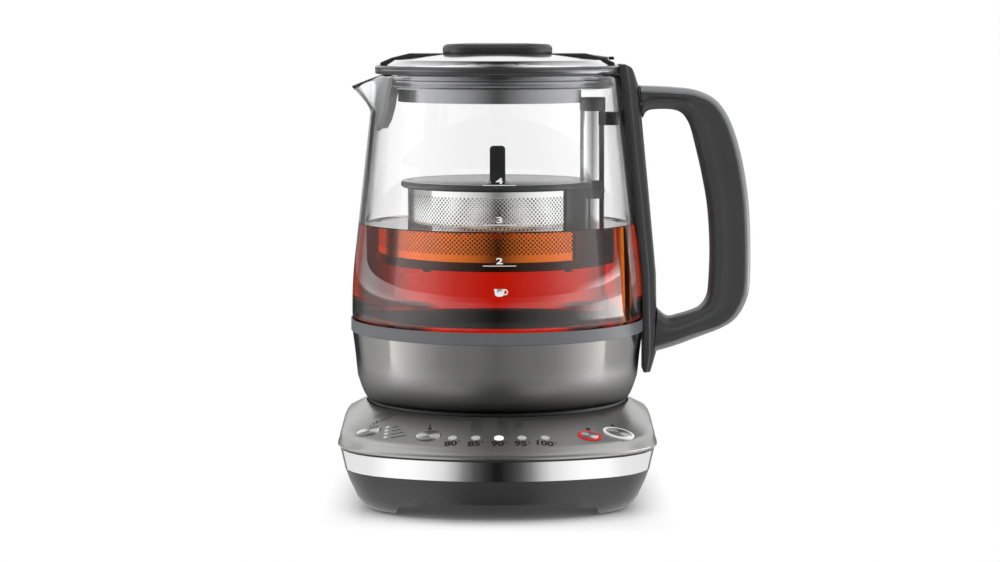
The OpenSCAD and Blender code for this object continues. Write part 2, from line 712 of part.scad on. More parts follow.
function handle_x(u, z) = max(glass_base_r + u * handle_reach, spine_out(z) + fit);
function handle_z(v) = handle_low_z + v * (handle_high_z - handle_low_z);
function handle_point(u, v) = [handle_x(u, handle_z(v)), handle_z(v)];
handle_stations = concat(
    [[handle_point(-1, 1), [handle_x(-1, handle_high_z - root_h[0]), handle_high_z - root_h[0]]]],
    [for (s = handle_shape) [handle_point(s[0], s[1]), handle_point(s[2], s[3])]],
    [[handle_point(-1, 0), [handle_x(-1, handle_low_z + root_h[1]), handle_low_z + root_h[1]]]]);

// A section across the handle between two shares of the way from the inner to the outer edge
function handle_section(s, from, to, w_in, w_out, edge) =
    let (a = s[1], b = s[0], l = norm(b - a), d = (b - a) / l,
         u0 = l * from[0] + from[1], u1 = l * to[0] + to[1],
         pts = [[u0, w_in - edge], [u0 + edge * 0.3, w_in - edge * 0.3], [u0 + edge, w_in],
                [u1 - edge, w_out], [u1 - edge * 0.3, w_out - edge * 0.3], [u1, w_out - edge]])
    concat([for (p = pts) [a[0] + d[0] * p[0], -p[1], a[1] + d[1] * p[0]]],
           [for (k = [5:-1:0]) let (p = pts[k]) [a[0] + d[0] * p[0], p[1], a[1] + d[1] * p[0]]]);

module handle() {
    color("#4a4a4c") difference() {
        loft([for (s = handle_stations)
            handle_section(s, [0, 0], [1, -handle_cover_t - eps], handle_half_w - 1, handle_half_w, 2.4)]);
        for (z = handle_screw_z) translate([back_r(z), 0, z]) rotate([0, 90, 0])
            cylinder(r = screw_thread_r + 0.1, h = 15);
    }
}

module handle_cover() {
    color("#6a6a6c") loft([for (s = handle_stations)
        handle_section(s, [1, -handle_cover_t], [1, 0], handle_half_w, handle_half_w - 1.4, 1)]);
}

module handle_screws() {
    color("silver") for (z = handle_screw_z) {
        translate([back_r(z) + 0.1, 0, z]) rotate([0, 90, 0]) {
            cylinder(r = 2.6, h = 1.8);
            cylinder(r = screw_thread_r, h = 14);
        }
    }
}

// ---------- lift post ----------

post_top_z = glass_rim_z - 18.2;
post_foot_z = floor_z - 6;
rim_top_z = basket_z + basket_h;
rim_z = rim_top_z - 3.3;
carrier_z = rim_top_z - 9;

module lift_post() {
    color("#d5d5d3") at_post() difference() {
        union() {
            translate([0, 0, post_foot_z]) cylinder(r = post_r, h = post_top_z - post_foot_z);
            translate([0, 0, floor_z + 0.85]) cylinder(r = post_r + 3, h = 1.4);
        }
        translate([0, 0, post_foot_z - 1]) cylinder(r = post_r - post_wall, h = post_top_z - post_foot_z + 0.2);
    }
}

module post_gasket() {
    color("#d9d9d6") at_post() ring(post_r + 3, post_r + 0.1, floor_z + eps, floor_z + 0.8);
}

cap_h = 6.8;
cap_half_w = 6.6;

// The cap's corners are rounded off, so that the basket lifts off over it.
module post_cap() {
    x0 = post_x - post_r - 0.1;
    color("#55565a") difference() {
        intersection() {
            translate([x0, -cap_half_w, post_top_z + eps]) cube([2 * post_r + 0.2, 2 * cap_half_w, cap_h]);
            post_notch(sleeve_r - 0.1, post_top_z, post_top_z + 2 * cap_h);
        }
        for (y = [-cap_half_w, cap_half_w]) translate([x0, y, post_top_z + cap_h]) rotate([0, 90, 0])
            cylinder(r = 1.4, h = 30, $fn = 4);
    }
}

module post_bracket() {
    r = glass_r(post_top_z - 3) - glass_wall - fit;
    color("#232323") difference() {
        translate([post_x, -5.5, post_top_z - 7]) cube([30, 11, 6.5]);
        at_post() translate([0, 0, 100]) cylinder(r = post_r + 0.05, h = 130);
        difference() {
            translate([0, 0, 100]) cylinder(r = 90, h = 130);
            translate([0, 0, 90]) cylinder(r = r, h = 150);
        }
    }
}

module lift_motor() {
    color("#8a8d90") at_post() {
        translate([0, 0, underside_in_z + eps]) cylinder(r = 10.5, h = 17);
        translate([0, 0, underside_in_z + 17]) cylinder(r = 4, h = 3);
    }
}

module lift_screw() {
    z = underside_in_z + 20.3;
    color("silver") at_post() {
        translate([0, 0, z]) cylinder(r = screw_r, h = post_top_z - 1 - z);
        translate([0, 0, z]) cylinder(r = 3.4, h = 5);
    }
}

module lift_magnet() {
    color("#3b3f46") at_post()
        ring(post_r - post_wall - fit, screw_r + slide_gap, carrier_z - 4, carrier_z + 12);
}

// ---------- tea basket ----------

collar_wall = 2.0;
sleeve_r = post_r + slide_gap + collar_wall;
flange_r = sleeve_r + 2.6;
flange_z = rim_z - 2.3;
trough_r = flange_r + fit;
trough_wall = 1.4;
basket_floor_z = basket_z + 3;

module post_notch(r, z0, z1) { at_post() translate([0, 0, z0]) cylinder(r = r, h = z1 - z0); }

module basket_carrier() {
    color("#55565a") difference() {
        union() {
            at_post() translate([0, 0, carrier_z]) cylinder(r = sleeve_r, h = rim_top_z - carrier_z);
            at_post() translate([0, 0, flange_z]) cylinder(r = flange_r, h = 2);
        }
        post_notch(post_r + slide_gap, 0, 250);
        translate([post_x + post_r - 0.4, -20, 0]) cube([40, 40, 250]);
    }
}

module basket_rim() {
    color("#55565a") difference() {
        rotate_extrude() polygon([
            [basket_r - 1.6, rim_z + 1.2], [basket_r - 1.6, rim_z], [basket_rim_r - 0.8, rim_z],
            [basket_rim_r, rim_z + 0.8], [basket_rim_r, rim_top_z - 0.8],
            [basket_rim_r - 0.8, rim_top_z], [basket_r - 0.4, rim_top_z], [basket_r - 0.4, rim_z + 1.2]]);
        post_notch(sleeve_r + fit, 0, 250);
        translate([post_x, -sleeve_r - fit, 0]) cube([40, 2 * (sleeve_r + fit), 250]);
    }
}

module basket_wall() {
    color("#c9c9c7") difference() {
        ring(basket_r, basket_r - basket_t, basket_z + 2.1, rim_z - eps);
        post_notch(trough_r + trough_wall + eps, 0, 250);
    }
}

channel_half_angle = 43;

// A curved plate on the side of the post, with a trough that the post and its collar slide in
module basket_channel() {
    z0 = basket_z + 4.5;
    color("#55565a") difference() {
        union() {
            intersection() {
                ring(basket_r + 1.7, basket_r + 0.1, z0, rim_z - eps);
                translate([0, 0, z0 - 1]) linear_extrude(60) polygon([
                    [0, 0], [60 * cos(channel_half_angle), -60 * sin(channel_half_angle)], [90, -40],
                    [90, 40], [60 * cos(channel_half_angle), 60 * sin(channel_half_angle)]]);
            }
            intersection() {
                post_notch(trough_r + trough_wall, basket_floor_z + basket_t + eps, rim_z - eps);
                union() {
                    cylinder(r = basket_r - basket_t - eps, h = 250);
                    translate([0, 0, z0]) cylinder(r = basket_r + 1.7, h = 250);
                }
            }
        }
        post_notch(trough_r, 0, 250);
    }
}

module basket_floor() {
    color("#c9c9c7") difference() {
        translate([0, 0, basket_floor_z]) cylinder(r = basket_r - basket_t - 0.1, h = basket_t);
        post_notch(post_r + 2.3, 0, 250);
    }
}

module basket_foot_ring() {
    color("#3a3a3c") difference() {
        union() {
            rotate_extrude() polygon([
                [basket_r - 3, basket_z], [basket_r + 0.6, basket_z], [basket_r + 1, basket_z + 0.4],
                [basket_r + 1, basket_z + 4.4], [basket_r + 0.1, basket_z + 4.4],
                [basket_r + 0.1, basket_z + 2], [basket_r - 3, basket_z + 2]]);
            for (a = [45:90:315]) rotate([0, 0, a]) translate([basket_r - 2, 0, basket_z - 1.2])
                cylinder(r = 1.8, h = 1.5, $fn = 32);
        }
        post_notch(post_r + 0.6, 0, 250);
        translate([post_x, -post_r - 0.6, 0]) cube([40, 2 * (post_r + 0.6), 250]);
    }
}

tab_half_w = 3.9;
module basket_lid() {
    z = rim_z + 1.2 + fit;
    tab_top = rim_top_z + tab_h;
    color("#55565a") difference() {
        union() {
            translate([0, 0, z]) cylinder(r = basket_r - 0.7, h = rim_top_z - z);
            translate([-tab_half_w, -1.6, z]) cube([2 * tab_half_w, 3.2, tab_top - tab_half_w / 2 - z]);
            for (x = [-1, 1]) translate([x * tab_half_w / 2, 1.6, tab_top - tab_half_w / 2])
                rotate([90, 0, 0]) cylinder(r = tab_half_w / 2, h = 3.2);
            translate([-tab_half_w / 2, -1.6, tab_top - tab_half_w]) cube([tab_half_w, 3.2, tab_half_w]);
        }
        post_notch(sleeve_r + fit, 0, 250);
    }
}

// ---------- lid ----------

lid_z = glass_rim_z + fit;
lid_top_z = lid_z + lid_rim_h;
cap_r = lid_r - 3.8;
dome_r = cap_r - bevel_w;
bevel_h = 2.8;
dome_top_z = lid_top_z + dome_h;
dome_base_z = lid_top_z + bevel_h;
dome_sphere_r = (dome_r * dome_r + pow(dome_h - bevel_h, 2)) / (2 * (dome_h - bevel_h));

function dome_z(r) = dome_top_z - dome_sphere_r + sqrt(dome_sphere_r * dome_sphere_r - r * r);
function dome_profile(drop) =
    concat([for (k = [0:12]) let (r = dome_r * k / 12) [r, dome_z(r) - drop]],
           [[cap_r - 0.2 - drop * 0.6, lid_top_z + 0.3 - drop]]);

module lid_rim() {
    color("#4a4a4c") rotate_extrude() polygon([
        [44, lid_z], [lid_r - 0.4, lid_z], [lid_r, lid_z + 0.5], [lid_r, lid_top_z - 0.8],
        [lid_r - 0.8, lid_top_z], [cap_r + 0.1, lid_top_z], [cap_r + 0.1, lid_top_z - 1.6],
        [44, lid_top_z - 1.6]]);
}

module lid_cap() {
    outer = dome_profile(0);
    inner = dome_profile(0.8);
    color("#e6e6e6") rotate_extrude() polygon(concat(
        outer, [[cap_r, lid_top_z - 1.5], [cap_r - 0.8, lid_top_z - 1.5]],
        [for (k = [len(inner) - 1:-1:0]) inner[k]]));
}

bar_top_z = dome_top_z - 0.9;
bar_flat = lid_r - 17;
bar_end = lid_r - 3;
module lid_bar() {
    color("#4a4a4c") difference() {
        rotate([90, 0, 0]) translate([0, 0, -bar_half_w]) linear_extrude(2 * bar_half_w) polygon([
            [-bar_end, lid_top_z + eps], [bar_end, lid_top_z + eps], [bar_end, lid_top_z + 1.4],
            [bar_end - 5, lid_top_z + 3.6], [bar_flat, bar_top_z],
            [-bar_flat, bar_top_z], [-bar_end + 5, lid_top_z + 3.6], [-bar_end, lid_top_z + 1.4]]);
        rotate_extrude() polygon(concat(
            [for (p = dome_profile(0)) [p[0] + (p[0] > dome_r ? 0.05 : 0), p[1] + eps]],
            [[cap_r + 0.15, lid_top_z - 2], [0, lid_top_z - 2]]));
        cylinder(r = 24, h = 300);
    }
}

grip_half_w = 13;
module lid_grip() {
    z0 = dome_top_z - 1.2;
    top = dome_top_z + grip_h;
    r = grip_half_w;
    color("#3c3c3e") difference() {
        union() {
            for (x = [-1, 1]) translate([x * (grip_half_l - r), 0, 0]) rotate_extrude() polygon([
                [0, z0], [r - 0.6, z0], [r, z0 + 0.8], [r, top - 2.2], [r - 0.6, top - 1.2],
                [r - 2, top - 0.5], [0, top]]);
            rotate([90, 0, 90]) translate([0, 0, -(grip_half_l - r)]) linear_extrude(2 * (grip_half_l - r))
                polygon([[-r + 0.6, z0], [r - 0.6, z0], [r, z0 + 0.8], [r, top - 2.2],
                         [r - 0.6, top - 1.2], [r - 2, top - 0.5], [0, top], [-r + 2, top - 0.5],
                         [-r + 0.6, top - 1.2], [-r, top - 2.2], [-r, z0 + 0.8]]);
        }
        rotate_extrude() polygon(concat([for (p = dome_profile(0)) [p[0], p[1] + eps]],
                                        [[cap_r, 100], [0, 100]]));
        difference() {
            translate([-bar_end, -bar_half_w - 0.1, 0])
                cube([2 * bar_end, 2 * bar_half_w + 0.2, bar_top_z + eps]);
            cylinder(r = 23.9, h = 300);
        }
    }
}

plug_r = glass_rim_r - glass_wall - seal_gap - 1.6;
plug_floor_z = lid_z - 7;

// Opens the plug and the seal in front of the strainer
module spout_gap_cut() {
    half_w = 2 * lid_r * tan(strainer_half_angle + 2.5);
    difference() {
        linear_extrude(lid_z - eps) polygon([[0, 0], [-2 * lid_r, -half_w], [-2 * lid_r, half_w]]);
        cylinder(r = skirt_r + 0.4, h = 2 * lid_z);
    }
}

module lid_plug() {
    color("#77797d") difference() {
        union() {
            ring(plug_r, plug_r - 2, plug_floor_z, lid_z - eps);
            translate([0, 0, plug_floor_z]) cylinder(r = plug_r - 0.5, h = 1.6);
            ring(skirt_r, skirt_r - 2, glass_rim_z - skirt_depth, plug_floor_z + 1);
        }
        spout_gap_cut();
        translate([post_x - post_r - 0.9, -40, 0]) cube([60, 80, plug_floor_z - eps]);
    }
}

module lid_seal() {
    r = glass_rim_r - glass_wall - seal_gap;
    color("#9a9da1") difference() {
        union() {
            for (z = [plug_floor_z + 1.2, plug_floor_z + 4.4]) translate([0, 0, z]) rotate_extrude() polygon([
                [plug_r + eps, -0.8], [r - 0.4, -0.2], [r, 0.3], [r - 0.2, 0.9], [plug_r + eps, 0.8]]);
            ring(plug_r + 0.5, plug_r + eps, plug_floor_z + 0.4, plug_floor_z + 5.2);
        }
        spout_gap_cut();
    }
}

tab_y = [bar_half_w + fit, bar_half_w + 11];
tab_end = bar_end - 2;
module lid_tab() {
    color("#d8d8d8") difference() {
        rotate([90, 0, 0]) translate([0, 0, -tab_y[1]]) linear_extrude(tab_y[1] - tab_y[0]) polygon([
            [tab_end - 20, lid_top_z], [tab_end - 4, lid_top_z], [tab_end, lid_top_z + 2.6],
            [tab_end, lid_top_z + 3.8], [tab_end - 14, dome_top_z - 1], [tab_end - 20, dome_top_z - 1.6]]);
        rotate_extrude() polygon(concat([for (p = dome_profile(0)) [p[0], p[1] + eps]],
                                        [[cap_r + 0.15, lid_top_z - 2], [0, lid_top_z - 2]]));
        translate([0, 0, lid_top_z - 4]) cylinder(r = cap_r + 0.1, h = 4.1);
    }
}

module lid_tab_tip() {
    color("#151515") translate([tab_end + eps, tab_y[0], lid_top_z + 2.4])
        cube([2.6, tab_y[1] - tab_y[0], 1.5]);
}

// ---------- nodes ----------

base_housing();
base_feet();
base_screws();
base_top_cover();
base_band();
jug_seat_ring();
connector_socket();
socket_contacts();
cable_gland();
circuit_board();
power_parts();
switch_frame();
tact_switches();
temperature_lights();
strength_lights();
stop_light_ring();
start_light_ring();
strength_button();
temperature_button();
stop_button();
start_button();
jug_connector();
jug_underside();
jug_shell();
jug_collar();
glass_gasket();
heater_plate();
heating_element();
temperature_sensor();
jug_glass();
spout_strainer();
handle_spine();
handle();
handle_cover();
handle_screws();
lift_post();
post_gasket();
post_cap();
post_bracket();
lift_motor();
lift_screw();
lift_magnet();
basket_carrier();
basket_rim();
basket_wall();
basket_channel();
basket_floor();
basket_foot_ring();
basket_lid();
lid_rim();
lid_cap();
lid_bar();
lid_grip();
lid_plug();
lid_seal();
lid_tab();
lid_tab_tip();
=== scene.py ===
import json
import math
import random

import bmesh
import bpy
from mathutils import Matrix, Vector
from mathutils.bvhtree import BVHTree


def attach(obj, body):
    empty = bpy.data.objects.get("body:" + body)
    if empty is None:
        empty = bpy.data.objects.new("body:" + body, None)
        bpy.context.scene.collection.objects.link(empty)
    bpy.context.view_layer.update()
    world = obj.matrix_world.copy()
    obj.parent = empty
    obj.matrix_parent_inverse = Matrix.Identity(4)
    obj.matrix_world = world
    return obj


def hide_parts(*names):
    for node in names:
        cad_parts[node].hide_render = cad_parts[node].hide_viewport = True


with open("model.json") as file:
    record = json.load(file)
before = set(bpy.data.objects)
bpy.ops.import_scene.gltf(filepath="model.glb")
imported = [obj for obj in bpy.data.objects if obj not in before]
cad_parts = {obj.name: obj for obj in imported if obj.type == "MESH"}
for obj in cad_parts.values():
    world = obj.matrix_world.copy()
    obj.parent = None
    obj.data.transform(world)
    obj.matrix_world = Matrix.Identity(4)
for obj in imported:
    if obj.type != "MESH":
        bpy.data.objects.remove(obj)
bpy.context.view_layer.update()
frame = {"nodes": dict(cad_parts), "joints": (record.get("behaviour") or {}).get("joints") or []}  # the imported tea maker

mm = 0.001
cadNodes = frame["nodes"]
pi = math.pi


# Shape helpers
def polar(degrees, radius, z):
    a = math.radians(degrees)
    return Vector((radius * math.cos(a), radius * math.sin(a), z)) * mm


def addPiece(name, bm, material, body, sharpAngle):  # takes over bm; the angle is in degrees
    mesh = bpy.data.meshes.new(name)
    bm.to_mesh(mesh)
    bm.free()
    piece = bpy.data.objects.new(name, mesh)
    bpy.context.scene.collection.objects.link(piece)
    mesh.materials.append(material)
    mesh.shade_smooth()
    mesh.set_sharp_from_angle(angle=math.radians(sharpAngle))
    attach(piece, body)
    return piece


weld = 1e-6  # metres within which points of one shape become one
steps = 180  # of a full turn


def spinProfile(points, closed=False):  # points are (radius, height) in mm
    bm = bmesh.new()
    verts = [bm.verts.new((r * mm, 0, z * mm)) for r, z in points]
    pairs = list(zip(verts, verts[1:])) + ([(verts[-1], verts[0])] if closed else [])
    edges = [bm.edges.new(pair) for pair in pairs]
    bmesh.ops.spin(bm, geom=verts + edges, axis=(0, 0, 1), cent=(0, 0, 0), angle=2 * pi,
                   steps=steps, use_merge=True)
    bmesh.ops.remove_doubles(bm, verts=bm.verts, dist=weld)
    bmesh.ops.recalc_face_normals(bm, faces=bm.faces)
    return bm


def gridSkin(columns, rows, place):  # a closed skin; place(u, v) gives the point in metres, u runs round
    bm = bmesh.new()
    bmesh.ops.create_grid(bm, x_segments=columns, y_segments=rows, size=0.5)
    for v in bm.verts:
        v.co = place(v.co.x + 0.5, v.co.y + 0.5)
    bmesh.ops.remove_doubles(bm, verts=bm.verts, dist=weld)
    bmesh.ops.holes_fill(bm, edges=[e for e in bm.edges if e.is_boundary], sides=0)
    bmesh.ops.recalc_face_normals(bm, faces=bm.faces)
    return bm


def smoothLine(points, t):  # a smooth curve through points of any size, t from 0 to 1
    k = min(int(t * (len(points) - 1)), len(points) - 2)
    f = t * (len(points) - 1) - k
    p0, p1, p2, p3 = (points[max(0, min(len(points) - 1, k + j))] for j in (-1, 0, 1, 2))
    return [0.5 * (2 * b + (c - a) * f + (2 * a - 5 * b + 4 * c - d) * f * f + (3 * b - a - 3 * c + d) * f ** 3)
            for a, b, c, d in zip(p0, p1, p2, p3)]


def dressCopy(node, material, body, bevel, sharpAngle, shape=None):
    # A merged copy of a CAD node, with its hard edges rounded by bevel mm
    bm = bmesh.new()
    bm.from_mesh(cadNodes[node].data)
    bmesh.ops.remove_doubles(bm, verts=bm.verts, dist=2 * weld)
    if shape:
        shape(bm)
    bmesh.ops.dissolve_limit(bm, angle_limit=math.radians(0.6), verts=bm.verts, edges=bm.edges)
    if bevel:
        hard = [e for e in bm.edges if len(e.link_faces) == 2 and e.calc_face_angle(0) > math.radians(sharpAngle)]
        bmesh.ops.bevel(bm, geom=hard, offset=bevel * mm, segments=2, profile=0.5, affect="EDGES",
                        material=-1, clamp_overlap=True)
    piece = addPiece(node + "_dressed", bm, material, body, sharpAngle + 5)
    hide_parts(node)
    return piece


# Materials
def add(tree, kind, inputs=None, **settings):  # a node, with its inputs linked or set
    made = tree.nodes.new(kind)
    for key, value in settings.items():
        setattr(made, key, value)
    for key, value in (inputs or {}).items():
        if isinstance(value, bpy.types.NodeSocket):
            tree.links.new(value, made.inputs[key])
        else:
            made.inputs[key].default_value = value
    return made


def calc(tree, operation, *values):  # one step of arithmetic
    return add(tree, "ShaderNodeMath", dict(enumerate(values)), operation=operation).outputs[0]


def calcVector(tree, operation, *values, output=0):  # the output is "Value" for lengths and products
    return add(tree, "ShaderNodeVectorMath", dict(enumerate(values)), operation=operation).outputs[output]


def objectPlace(tree):
    return add(tree, "ShaderNodeTexCoord").outputs["Object"]


def noise(tree, place, scale, detail=2):
    return add(tree, "ShaderNodeTexNoise", {"Vector": place, "Scale": scale, "Detail": detail}).outputs["Fac"]


def darken(tree, color, factor):  # the color times the factor
    return add(tree, "ShaderNodeMix", {0: 1.0, 6: color, 7: factor}, data_type="RGBA",
               blend_type="MULTIPLY").outputs[2]


def blendShades(tree, factor, a, b):
    return add(tree, "ShaderNodeMix", {0: factor, 6: a, 7: b}, data_type="RGBA").outputs[2]


def ramp(tree, factor, stops):  # grey levels by position
    made = add(tree, "ShaderNodeValToRGB", {0: factor})
    elements = made.color_ramp.elements
    for element, (position, value) in ((elements[0], stops[0]), (elements[1], stops[-1])):
        element.position = position
        element.color = (value, value, value, 1)
    for position, value in stops[1:-1]:
        elements.new(position).color = (value, value, value, 1)
    return made.outputs["Color"]


def rise(tree, value, start=0.0, end=1.0, low=0.0, high=1.0):  # low before start, high past end
    return add(tree, "ShaderNodeMapRange", {"Value": value, "From Min": start, "From Max": end, "To Min": low,
                                            "To Max": high}).outputs["Result"]


def newGroup(name, inputs, outputs):  # each socket is (label, type, value or None)
    tree = bpy.data.node_groups.new(name, "ShaderNodeTree")
    for kind, items in (("INPUT", inputs), ("OUTPUT", outputs)):
        for label, socket, value in items:
            made = tree.interface.new_socket(name=label, in_out=kind, socket_type=socket)
            if value is not None:
                made.default_value = value
    return tree, add(tree, "NodeGroupInput").outputs, add(tree, "NodeGroupOutput").inputs


def surfaceGroup(name, amount, color, roughness, texture):  # amount is the label of the texture's strength
    return newGroup(
        name,
        [("Color", "NodeSocketColor", (color, color, color, 1)), ("Roughness", "NodeSocketFloat", roughness),
         (amount, "NodeSocketFloat", texture)],
        [("Color", "NodeSocketColor", None), ("Roughness", "NodeSocketFloat", None),
         ("Normal", "NodeSocketVector", None)])


def putOut(tree, given, result, tone, spread, bump):  # color times tone, roughness times spread, and the bump
    tree.links.new(darken(tree, given["Color"], tone), result["Color"])
    tree.links.new(calc(tree, "MULTIPLY", given["Roughness"], spread), result["Roughness"])
    tree.links.new(add(tree, "ShaderNodeBump", bump).outputs["Normal"], result["Normal"])


def makeMouldedGrain():  # fine texture of moulded plastic, with slight unevenness of tone
    tree, given, result = surfaceGroup("mouldedGrain", "Grain", 0.1, 0.4, 0.1)
    place = objectPlace(tree)
    tone = rise(tree, noise(tree, place, 28, 3), low=0.93, high=1.07)
    putOut(tree, given, result, tone, tone,
           {"Strength": given["Grain"], "Distance": 0.00006, "Height": noise(tree, place, 2600)})
    return tree


def makeBrushedSheen():  # very fine lines that run round an upright metal piece
    tree, given, result = surfaceGroup("brushedSheen", "Lines", 0.5, 0.2, 0.05)
    stretched = add(tree, "ShaderNodeMapping", {"Vector": objectPlace(tree), "Scale": (12, 12, 4200)})
    lines = noise(tree, stretched.outputs["Vector"], 1, 3)
    putOut(tree, given, result, rise(tree, lines, low=0.96, high=1.04), rise(tree, lines, low=0.85, high=1.15),
           {"Strength": given["Lines"], "Distance": 0.00003, "Height": lines})
    return tree


mouldedGrain = makeMouldedGrain()
brushedSheen = makeBrushedSheen()


def shaderOf(name):
    material = bpy.data.materials.new(name)
    material.use_nodes = True
    return material, material.node_tree, material.node_tree.nodes["Principled BSDF"]


def setInputs(shader, values):
    for key, value in values.items():
        shader.inputs[key].default_value = value


def groupedMaterial(name, group, amount, look):
    material, tree, shader = shaderOf(name)
    grain = add(tree, "ShaderNodeGroup", node_tree=group)
    grain.inputs["Color"].default_value = (*look["color"], 1)
    grain.inputs["Roughness"].default_value = look["roughness"]
    grain.inputs[amount].default_value = look["texture"]
    for output, entry in (("Color", "Base Color"), ("Roughness", "Roughness"), ("Normal", "Normal")):
        tree.links.new(grain.outputs[output], shader.inputs[entry])
    setInputs(shader, look.get("extra", {}))
    return material


plasticLooks = {
    "darkPlastic": {"color": (0.040, 0.040, 0.042), "roughness": 0.34, "texture": 0.12},
    "gripPlastic": {"color": (0.058, 0.058, 0.060), "roughness": 0.38, "texture": 0.12},
    "trimPlastic": {"color": (0.22, 0.22, 0.225), "roughness": 0.34, "texture": 0.08},
    "blackPlastic": {"color": (0.012, 0.012, 0.013), "roughness": 0.42, "texture": 0.10},
    "greyPlastic": {"color": (0.072, 0.073, 0.076), "roughness": 0.20, "texture": 0.02},
    "footPlastic": {"color": (0.035, 0.035, 0.037), "roughness": 0.38, "texture": 0.08},
    "collarPlastic": {"color": (0.125, 0.132, 0.140), "roughness": 0.42, "texture": 0.10},
    "strainerPlastic": {"color": (0.58, 0.585, 0.60), "roughness": 0.36, "texture": 0.06},
    "blackRubber": {"color": (0.010, 0.010, 0.010), "roughness": 0.62, "texture": 0.35},
    "paleSilicone": {"color": (0.62, 0.62, 0.60), "roughness": 0.45, "texture": 0.05},
    "heaterCoat": {"color": (0.016, 0.015, 0.014), "roughness": 0.60, "texture": 0.06,
                   "extra": {"Specular IOR Level": 0.0}},
    "greenBoard": {"color": (0.015, 0.14, 0.045), "roughness": 0.30, "texture": 0.10},
}
metalLooks = {
    "smokedMetalPaintedFootShade": {"color": (0.36, 0.357, 0.345), "roughness": 0.06, "texture": 0.01},
    "trayMetal": {"color": (0.42, 0.418, 0.410), "roughness": 0.30, "texture": 0.02, "metallic": 0.90},
    "plugMetal": {"color": (0.36, 0.362, 0.37), "roughness": 0.24, "texture": 0.04},
    "polishedMetal": {"color": (0.88, 0.88, 0.88), "roughness": 0.035, "texture": 0.01},
    "satinSteel": {"color": (0.66, 0.66, 0.65), "roughness": 0.22, "texture": 0.05},
    "postSteel": {"color": (0.96, 0.96, 0.96), "roughness": 0.14, "texture": 0.01},
    "basketSteel": {"color": (0.88, 0.88, 0.87), "roughness": 0.08, "texture": 0.01},
    "capMetal": {"color": (0.86, 0.86, 0.86), "roughness": 0.11, "texture": 0.02},
    "contactCopper": {"color": (0.72, 0.36, 0.16), "roughness": 0.28, "texture": 0.03},
    "darkMagnet": {"color": (0.12, 0.125, 0.14), "roughness": 0.35, "texture": 0.03},
}
looks = {name: groupedMaterial(name, mouldedGrain, "Grain", look) for name, look in plasticLooks.items()}
for name, look in metalLooks.items():
    look["extra"] = {"Metallic": look.get("metallic", 1.0)}
    looks[name] = groupedMaterial(name, brushedSheen, "Lines", look)
looks["rimPlastic"] = groupedMaterial("rimPlastic", mouldedGrain, "Grain", {
    "color": (0.085, 0.085, 0.089), "roughness": 0.15, "texture": 0.04, "extra": {"Metallic": 0.6}})


def paintShadeInside(material, shade):  # painted shade: the side that faces the axis is darkened
    tree = material.node_tree
    shader = tree.nodes["Principled BSDF"]
    given = add(tree, "ShaderNodeTexCoord").outputs
    outward = calcVector(tree, "MULTIPLY", given["Object"], (1, 1, 0))
    facing = calcVector(tree, "DOT_PRODUCT", outward, given["Normal"], output="Value")
    tone = shader.inputs["Base Color"].links[0].from_socket
    made = darken(tree, tone, rise(tree, facing, -0.02, 0.02, shade))
    tree.links.new(made, shader.inputs["Base Color"])


def paintShadeTowardsFoot(material):  # painted shade: the shell's colour is darkened towards its lower edge, and it also grows duller there
    tree = material.node_tree
    shader = tree.nodes["Principled BSDF"]
    tone = shader.inputs["Base Color"].links[0].from_socket
    height = add(tree, "ShaderNodeSeparateXYZ", {0: objectPlace(tree)}).outputs["Z"]
    made = darken(tree, tone, rise(tree, height, footShade["start"], footShade["end"], footShade["shade"]))
    tree.links.new(made, shader.inputs["Base Color"])
    rough = rise(tree, height, footShade["dullStart"], footShade["dullEnd"], footShade["dull"], footShade["clear"])
    tree.links.new(rough, shader.inputs["Roughness"])


# Heights in metres: the shell's painted shade is darkest below start, and the shell is duller some way over it
footShade = {"start": 0.051, "end": 0.067, "shade": 0.10, "dullStart": 0.057, "dullEnd": 0.075, "dull": 0.50,
         "clear": 0.06}
# Painted shade on the basket's inner side
paintShadeInside(looks["basketSteel"], 0.05)
# Painted shade towards the shell's lower edge
paintShadeTowardsFoot(looks["smokedMetalPaintedFootShade"])


# Clear bodies: glass, tea and the air in its bubbles
clearLooks = {
    "clearGlass": {"Base Color": (1, 1, 1, 1), "Roughness": 0.0, "IOR": 1.47, "Transmission Weight": 1.0},
    "blackTea": {"Base Color": (1.0, 0.95, 0.90, 1), "Roughness": 0.0, "IOR": 1.333, "Transmission Weight": 1.0},
    "airBubble": {"Base Color": (1, 1, 1, 1), "Roughness": 0.02, "IOR": 0.76, "Transmission Weight": 1.0},
}


def makeClear(name):
    material, _, shader = shaderOf(name)
    setInputs(shader, clearLooks[name])
    return material


def makeTea():  # its colour deepens with the way that light goes through it
    material = makeClear("blackTea")
    tree = material.node_tree
    depth = add(tree, "ShaderNodeVolumeAbsorption", {"Color": (0.952, 0.62, 0.05, 1), "Density": 92})
    tree.links.new(depth.outputs["Volume"], tree.nodes["Material Output"].inputs["Volume"])
    return material


def makeLight(name, color, glow, strength):
    material, tree, shader = shaderOf(name)
    tree.links.new(rise(tree, noise(tree, objectPlace(tree), 900), low=0.22, high=0.34), shader.inputs["Roughness"])
    setInputs(shader, {"Base Color": (*color, 1), "Emission Color": (*glow, 1), "Emission Strength": strength})
    return material


# Metres across the panel to the middle lamp, and half of the width that it lights up
lamps = {"middle": 0.0007, "halfWidth": 0.004, "off": (0.50, 0.50, 0.49, 1)}


def makePanelLights():  # five lamps, of which the middle one is lit
    material, tree, shader = shaderOf("panelLights")
    across = add(tree, "ShaderNodeSeparateXYZ", {0: objectPlace(tree)}).outputs["X"]
    offset = calc(tree, "ABSOLUTE", calc(tree, "ADD", across, -lamps["middle"]))
    lit = calc(tree, "LESS_THAN", offset, lamps["halfWidth"])
    for entry, off in (("Base Color", lamps["off"]), ("Emission Color", (0, 0, 0, 1))):
        tree.links.new(blendShades(tree, lit, off, (1, 1, 1, 1)), shader.inputs[entry])
    setInputs(shader, {"Emission Strength": 1.1, "Roughness": 0.28})
    return material


